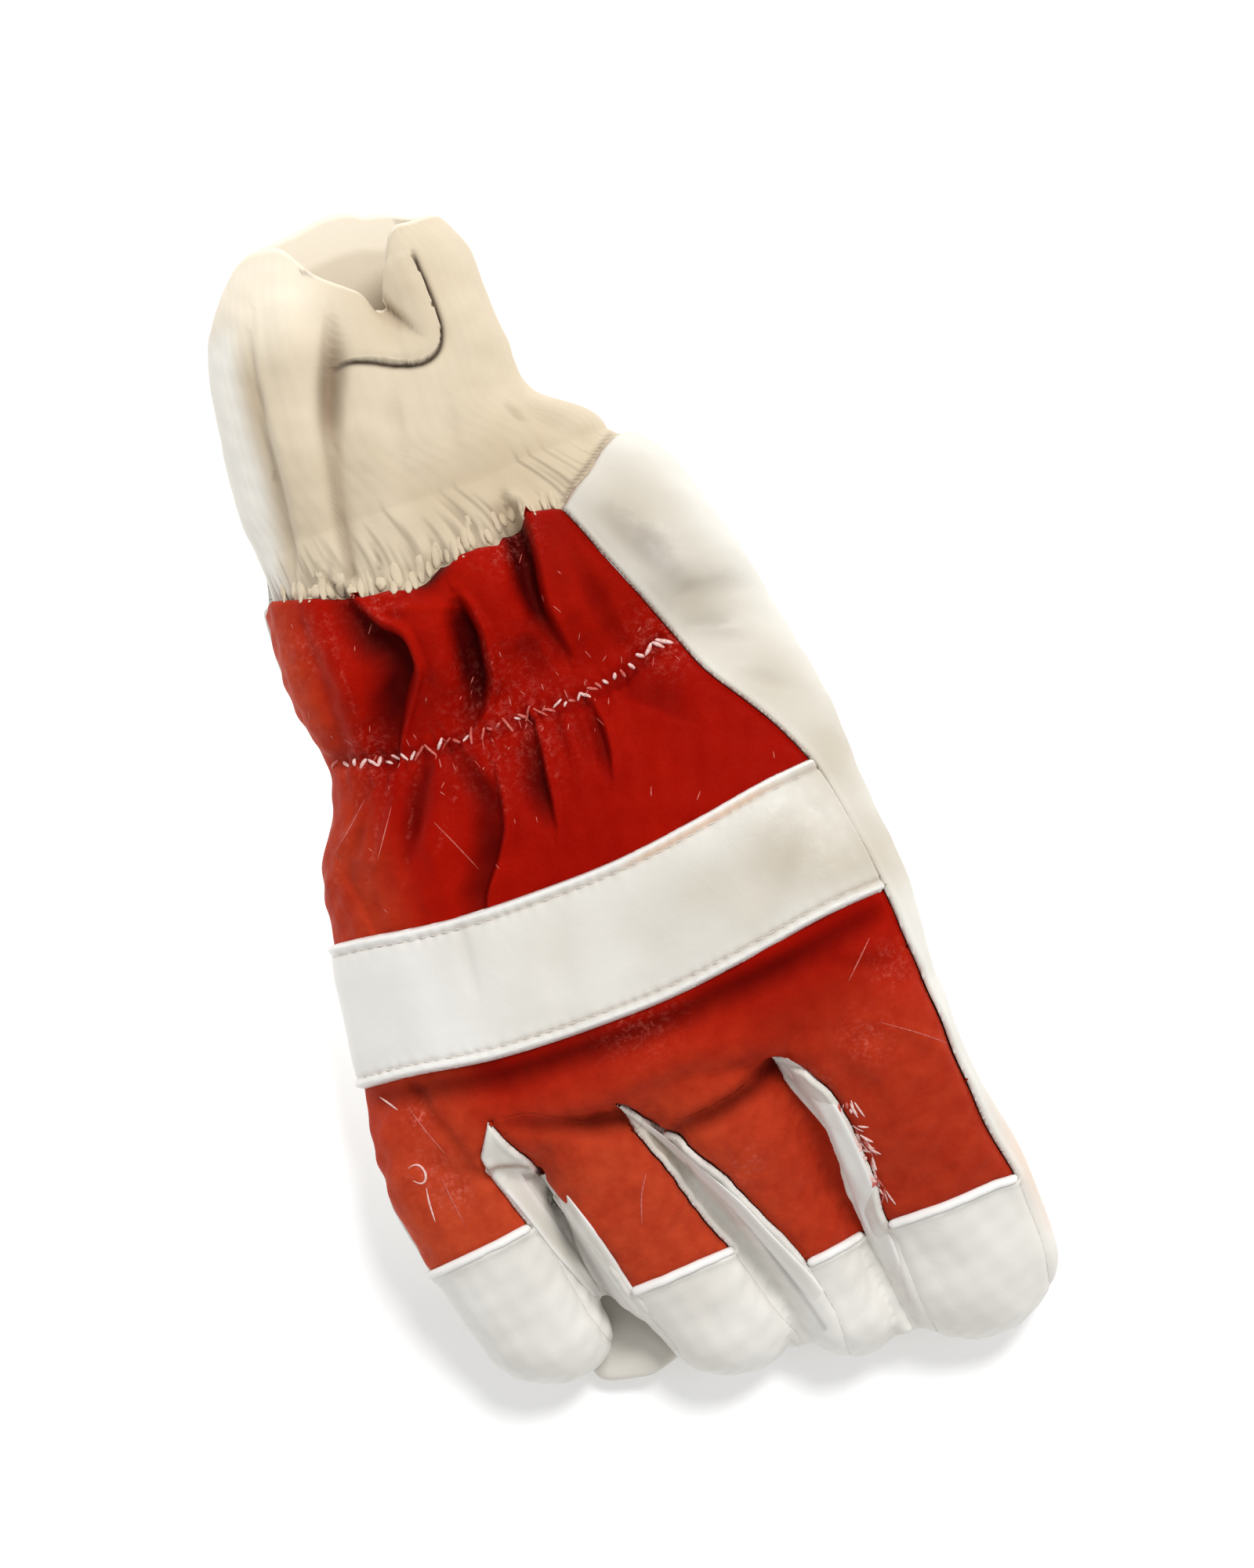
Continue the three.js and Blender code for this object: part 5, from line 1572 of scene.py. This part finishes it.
def knit_dirt_and_shadow(plan, y, turn, upper):
    """Drawn lines of dirt and painted shadow, and dark streaks of painted shade in some of the columns of
    knit where it is gathered.
    """
    edge = np.zeros(len(plan))
    for amount, width, points in KNIT_LINES:
        off, drawn = beside(plan, points, 4 * width)
        edge = np.maximum(edge, amount * drawn * bump(off, 0, width) * upper)
    made = np.random.default_rng(31)
    column = np.rint(turn).astype(int) % CUFF_POINTS
    drawn = np.where(made.random(CUFF_POINTS) < 0.4, made.uniform(0.12, 0.42, CUFF_POINTS), 0)[column]
    end = 61 + made.uniform(1, 13, CUFF_POINTS)[column]
    return np.maximum(edge, drawn * (1 - smoothstep(y, end - 6, end)) * upper)


def pleats_of(turn, y):
    """The depth of the small pleats where the knit is sewn in."""
    length = turn * 0.55 + 1.2 * np.sin(turn * 0.17) + 0.8 * np.sin(turn * 0.41 + 1)
    pleat = 1 - np.abs(np.sin(np.pi * length / 1.9)) ** 0.6
    reach = 62.5 + 3 * np.sin(turn * 0.27) + 2 * np.sin(turn * 0.73 + 2)
    return 0.8 * pleat * (1 - smoothstep(y, reach - 4, reach + 5))


def make_cuff():
    """Gives its outside."""
    outer, share = cuff_rings(0)
    inner, _ = cuff_rings(-KNIT_WALL)
    tris = grid_tris(CUFF_RINGS, CUFF_POINTS)[:, ::-1]
    normals = normals_of(outer, tris)
    n = len(outer)
    last = n - CUFF_POINTS
    over, over_share = beside(outer[:, :2], LAPEL_EDGE, 16)
    upper = smoothstep(normals[:, 2], 0.0, 0.4)
    state = {
        "outer": outer,
        "normals": normals,
        "upper": upper,
        "turn": np.tile(np.arange(CUFF_POINTS), CUFF_RINGS).astype(float),
        "lapel": -over * (upper > 0.2) - 99 * (upper <= 0.2),
        "turned": over_share,
    }
    for offset in (0, -LAPEL_WALL):
        state["cut"] = state["lapel"] - offset
        tris = split_plain(state, tris, "cut")
    upper, turn, lapel, turned = (state[key] for key in ("upper", "turn", "lapel", "turned"))
    x, y, z = state["outer"].T
    plan = state["outer"][:, :2]
    fold = fold_depths(plan, KNIT_FOLDS) * upper
    gathers = fold_depths(plan, CANVAS_FOLDS) * upper * (1 - smoothstep(y, 56, 72))
    pleats = pleats_of(turn, y)
    rib = 0.035 * np.cos(2 * np.pi * turn * 0.55 / 2.4) * smoothstep(y, 62, 76)
    wave = 0.35 * ripple(state["outer"], 19, 11) + 0.08 * ripple(state["outer"], 6, 12)
    beyond = lapel < -0.02
    step = np.where(beyond, 0, np.exp(-((lapel / 10) ** 2)))
    below = np.where(beyond, 0.35 * np.exp(-((lapel / 1.5) ** 2)), 0)
    lifted = turned * (LAPEL_LIFT * step - below)
    curl = -0.5 * turned * bump(lapel, 0, 0.9) * (step > 0)
    down = fold + gathers + pleats + rib - wave * smoothstep(z, 0.5, 5) - lifted - curl
    outside = state["outer"] - state["normals"] * down[:, None]
    inside = inner - normals * (0.8 * (fold + gathers))[:n, None]
    outside[:, 2] = np.maximum(outside[:, 2], 0)
    inside[:, 2] = np.maximum(inside[:, 2], KNIT_WALL * 0.5)
    m = len(outside)
    rim = np.arange(last, n)
    middle = (outside[rim] + inside[rim]) / 2 + unit(outside[rim] - outside[rim - CUFF_POINTS])
    points = np.concatenate([outside, inside, middle])
    lining = grid_tris(CUFF_RINGS, CUFF_POINTS) + m
    faces = np.concatenate([tris, lining, rim_tris(last, m, m + n)])
    mesh = new_mesh("visual_knit_cuff", points, faces)

    # The flank, and the side that faces left, are painted lighter: painted light.
    border, _ = beside(plan, KNIT_BORDER, 30)
    flank = smoothstep(-border, 0.5, 5) * (1 - smoothstep(y, 112, 124))
    flank = np.maximum(flank, smoothstep(-state["normals"][:, 0], 0.6, 0.9) * (1 - smoothstep(y, 106, 118)))
    # crease is painted shade in the folds, pleats and gathers; shade is painted shadow below the turned-back
    # mouth's edge.
    crease = np.clip(fold, 0, None) + 2.2 * pleats + 0.5 * np.clip(gathers, 0, None)
    lapel_shadow = np.clip(1.6 * turned, 0, 1) * np.where(beyond, bump(lapel, -0.75 * LAPEL_WALL, 0.6), 0)
    edge = np.maximum(lapel_shadow, knit_dirt_and_shadow(plan, y, turn, upper))
    shade = turned * np.where(beyond, np.exp(np.minimum(lapel, 0) / 2.2), 0)
    # Painted light and shade in the mouth: the inside is lighter near the rim and darker and browner further
    # in, the far rim's top is lighter, and the rim's edge is lit.
    from_mouth = smoothstep(1 - share, 0.08, 0.11)
    further_in = smoothstep(1 - share, 0.12, 0.3)
    lit = 1 - 0.35 * from_mouth - 0.2 * further_in
    top = 0.8 * smoothstep(y, 100, 122) * smoothstep(-x, -4, 18)
    soiled = 0.34 * (1 - smoothstep(y, 66, 92)) * smoothstep(x, -26, 4) * upper
    soiled = soiled * (1 - 0.7 * smoothstep(x, 12, 30)) + 0.16 * turned * (lapel > 0)
    flat = np.zeros(CUFF_POINTS)
    add_values(mesh, {
        "deep": np.concatenate([crease + 0.6 * shade, crease[:n], flat]),
        "pale_painted_light": np.concatenate([flank, np.zeros(n), flat]),
        "warm_painted_light": np.concatenate([top * (1 - flank), lit, flat + 0.9]),
        "tan": np.concatenate([soiled, 0.15 * from_mouth + 0.15 * further_in, flat]),
        "edge": np.concatenate([edge, np.zeros(n), flat]),
    })
    declare(new_object("visual_knit_cuff", mesh), "cream_knit", "knit_cuff")
    return outside, tris


# Where the fringe of gathered knit starts, as [x, y].
FRINGE_EDGE = [
    (-37, 60), (-30, 58), (-26, 56.5), (-22, 55), (-17, 54.5), (-13, 53.2), (-10, 54), (-6, 56), (-4, 55.3),
    (0, 55.8), (3, 56), (7, 55), (8, 57.5), (12, 59), (17, 59), (20, 58.3), (22, 58),
]


def make_fringe(knit, hand):
    """Tufts of the gathered knit, hanging a little over the canvas."""
    made = np.random.default_rng(21)
    pile = Pile()
    x = -38.0
    while x < 21.5:
        low = float(line(FRINGE_EDGE, x)) + made.uniform(-0.9, 0.4)
        high = low + made.uniform(3.5, 8)
        lean = made.uniform(0.0, 0.55) * (high - low) * (0.6 if x < -5 else 0.2)
        width = made.uniform(0.7, 1.25)
        path, ups = [], []
        for t in np.linspace(0, 1, 7):
            px, py = x + lean * t + made.uniform(-0.05, 0.05), low + (high - low) * t
            hits = knit.drops([(px, py)]) + hand.drops([(px, py)])
            if hits:
                best = max(hits, key=lambda hit: hit[0][2])
                path.append(best[0] + best[1] * (0.12 - 1.0 * t**1.5))
                ups.append(best[1])
        if len(path) == 7:
            taper = np.array([0.35, 0.85, 1, 1, 0.95, 0.8, 0.5]) * width
            pile.tube(path, ups, taper, flat=0.55)
        x += made.uniform(1.2, 2.5)
    obj = pile.object("knit_fringe")
    across = np.array([vert.co.x for vert in obj.data.vertices]) / MM
    add_values(obj.data, {"tan": 0.34 * smoothstep(across, -26, 4) * (1 - 0.7 * smoothstep(across, 12, 30))})
    declare(obj, "cream_knit")


def zigzag(surface):
    """The elastic's zigzag, of which only short slanting dabs stand out of the puckered canvas."""
    made = np.random.default_rng(17)
    piles = {"pale_thread": Pile(), "pink_thread": Pile()}
    x, way = -42.0, 1
    steps = np.linspace(-1, 1, 6)
    while x < 31.5:
        y = float(line(ZIGZAG_LINE, x)) + made.uniform(-0.5, 0.5)
        slope = math.radians(made.uniform(25, 78)) * way
        reach = made.uniform(0.6, 1.5) if made.random() < 0.8 else 2.0
        outwards = smoothstep(abs(x + 5), 14, 34)
        thick = made.uniform(0.26, 0.4) + 0.12 * outwards
        finish = "pale_thread" if made.random() < 0.5 + 0.4 * outwards else "pink_thread"
        dx, dy = math.cos(slope), math.sin(slope)
        hits = surface.drops([(x + reach * t * dx, y + reach * t * dy) for t in steps])
        if len(hits) == len(steps):
            path = [hit[0] + hit[1] * (0.18 - 0.4 * t**2) for hit, t in zip(hits, steps)]
            piles[finish].tube(path, [hit[1] for hit in hits], thick * (1 - 0.45 * steps**2), flat=0.75)
        x += made.uniform(1.1, 2.4)
        way = -way if made.random() < 0.6 else way
    for finish, pile in piles.items():
        pile.declare_thread("stitches_elastic_" + finish, "red_canvas", finish)


# Scratches and pulled threads on the canvas: finish, thickness and course.
SCRATCHES = [
    ("pink_thread", 0.2, [(-11, -74), (-13.6, -78), (-15.5, -83.5)]),
    ("pink_thread", 0.14, [(-25.4, 7.5), (-23, 2), (-20.4, -4.5)]),
    ("pink_thread", 0.16, [(-46, 9.5), (-41, 13.4), (-37, 17)]),
    ("pink_thread", 0.14, [(-39, 4.4), (-36, 8.6), (-32.4, 13.6)]),
    ("pale_thread", 0.22, [(-56, -40.5), (-54.6, -42.4), (-53.4, -44.2)]),
    ("pink_thread", 0.16, [(-51, -45), (-49.6, -50), (-47.4, -56)]),
    ("pale_thread", 0.26, [
        (-55.6, -56), (-54, -55.2), (-52.6, -56.6), (-52.6, -59.4), (-54.2, -60.4), (-55.6, -58.6),
    ]),
    ("pale_thread", 0.2, [(-53.6, -61), (-54.2, -64), (-54.4, -68)]),
    ("pink_thread", 0.16, [(-50, -60), (-49.6, -66), (-49, -71)]),
    ("pink_thread", 0.16, [(41, -52), (44.6, -48.6), (48, -45.4)]),
    ("pink_thread", 0.12, [(44, -62), (50, -66.4), (56, -71.6)]),
]


def make_threads(surface):
    """Scratches, pulled threads and the frayed edge beside the strip between the middle and index fingers."""
    made = np.random.default_rng(29)
    piles = {"pale_thread": Pile(), "pink_thread": Pile()}
    courses = list(SCRATCHES)
    for _ in range(44):
        y = made.uniform(-97, -75)
        x = 32.2 + 0.6 * math.sin(y * 0.7) + made.normal(0, 0.6)
        reach, lean = made.uniform(0.5, 1.8), made.normal(0, 0.9)
        finish = "pale_thread" if made.random() < 0.7 else "pink_thread"
        thick = made.uniform(0.16, 0.46)
        courses.append((finish, thick, [(x, y + reach), (x + 0.3 * lean, y), (x + lean, y - reach)]))
    for _ in range(70):
        y = float(made.uniform(-7, 57))
        right = float(curve(BACK_SEAM, y)[0])
        x = made.uniform(max(-43, right - 92), right - 3)
        if made.random() < 0.5:
            y = float(line(ZIGZAG_LINE, np.clip(x, -43, 31))) + made.normal(0, 4)
        reach, turn = made.uniform(0.3, 1.1), made.uniform(0.6, 2.2)
        dx, dy = reach * math.cos(turn), reach * math.sin(turn)
        thick = made.uniform(0.08, 0.18)
        courses.append(("pink_thread", thick, [(x - dx, y - dy), (x, y), (x + dx, y + dy)]))
    for finish, thick, points in courses:
        hits = surface.drops(course_of(points)[0])
        if len(hits) > 3:
            path, ups = (np.array(part) for part in zip(*hits))
            ends = np.sin(np.pi * np.linspace(0.1, 0.9, len(hits)))
            piles[finish].tube(path + ups * 0.25 * thick, ups, thick * ends, flat=0.6, sides=6)
    for finish, pile in piles.items():
        pile.declare_thread("loose_threads_" + finish, "red_canvas", finish)


# The strap's stitches: how long they are, how far apart, how thick, and how far they stand up.
STITCH_LENGTH = 1.7
STITCH_GAP = 0.8
STITCH_RADIUS = 0.17
STITCH_RISE = 0.16


def strap_stitches(surface):
    """A row of stitches along both hems of the strap."""
    xs = np.linspace(-58, 50, 500)
    for name, drop in (("top", STRAP_HEM), ("bottom", STRAP_WIDTH - STRAP_HEM)):
        ys = strap_top(xs) - drop
        inside = xs < curve(BACK_SEAM, ys)[0] - 2
        points, ups = surface.line(zip(xs[inside], ys[inside]), 0.1)
        pile = Pile()
        for start in np.arange(0.6, (len(points) - 1) * 0.1 - STITCH_LENGTH, STITCH_LENGTH + STITCH_GAP):
            i, j = int(start * 10), int((start + STITCH_LENGTH) * 10)
            if j < len(points):
                pile.stitch(points[i], points[j], ups[i], STITCH_RADIUS, STITCH_RISE)
        pile.declare_thread("stitches_strap_" + name, "white_leather", "pale_leather")


# Where everything is made.
state, tris, names = build_panels()
panels, shared_edges = make_panels(state, tris, names)
strap = make_strap(state, tris[names == "back_hand"])
cuff = make_cuff()
hand_surface = joined_surface(panels)
make_fringe(joined_surface([cuff]), hand_surface)
strap_surface = joined_surface([strap])
make_welts(state, shared_edges, hand_surface)
make_strips(hand_surface)
make_low_web()
make_threads(hand_surface)
zigzag(hand_surface)
strap_stitches(strap_surface)


# The table that it lies on, the light from the top of the picture, and the camera straight above.
AZIMUTH = -21
TARGET = (13.66 * MM, 0.85 * MM)
DISTANCE = 2.2
FRAME_HEIGHT = 0.3226
SENSOR = 36
FLOOR_REACH = 4000


def make_stage():
    """The floor, the light and the camera."""
    corners = [(x * FLOOR_REACH, y * FLOOR_REACH, 0) for x, y in ((-1, -1), (1, -1), (1, 1), (-1, 1))]
    mesh = new_mesh("floor", corners, [(0, 1, 2, 3)])
    f = Finish("paper")
    f.set("Base Color", (0.93, 0.93, 0.93, 1))
    f.set("Roughness", 0.9)
    f.set("Specular IOR Level", 0.1)
    # Painted light: the floor glows, more towards the cuff and less by the fingertips, to wash out the
    # glove's shadow.
    f.set("Emission Color", (1, 1, 1, 1))
    apart = f.add("ShaderNodeSeparateXYZ")
    f.link(f.place, apart.inputs[0])
    f.set("Emission Strength", f.ramp(apart.outputs["Y"], -0.085, -0.02, (0.2, 0.5)))
    mesh.materials.append(f.material)
    new_object("floor", mesh)

    world = bpy.data.worlds.new("room")
    bpy.context.scene.world = world
    world.use_nodes = True
    background = world.node_tree.nodes["Background"]
    background.inputs["Color"].default_value = (1, 1, 1, 1)
    background.inputs["Strength"].default_value = 0.55

    sun = bpy.data.lights.new("window", "SUN")
    sun.energy = 2.15
    sun.angle = math.radians(20)
    turn = math.radians(AZIMUTH)
    right = Vector((math.cos(turn), math.sin(turn), 0))
    up = Vector((-math.sin(turn), math.cos(turn), 0))
    from_light = 0.25 * right + 0.62 * up + Vector((0, 0, 1.0))
    new_object("window", sun).rotation_euler = from_light.to_track_quat("Z", "Y").to_euler()

    camera = bpy.data.cameras.new("camera")
    camera.sensor_fit = "VERTICAL"
    camera.sensor_height = SENSOR
    camera.lens = SENSOR * DISTANCE / FRAME_HEIGHT
    camera.clip_end = 100
    eye = new_object("camera", camera)
    eye.location = (*TARGET, DISTANCE)
    eye.rotation_euler = (0, 0, turn)
    bpy.context.scene.camera = eye
    bpy.context.scene.view_settings.view_transform = "Standard"


make_stage()
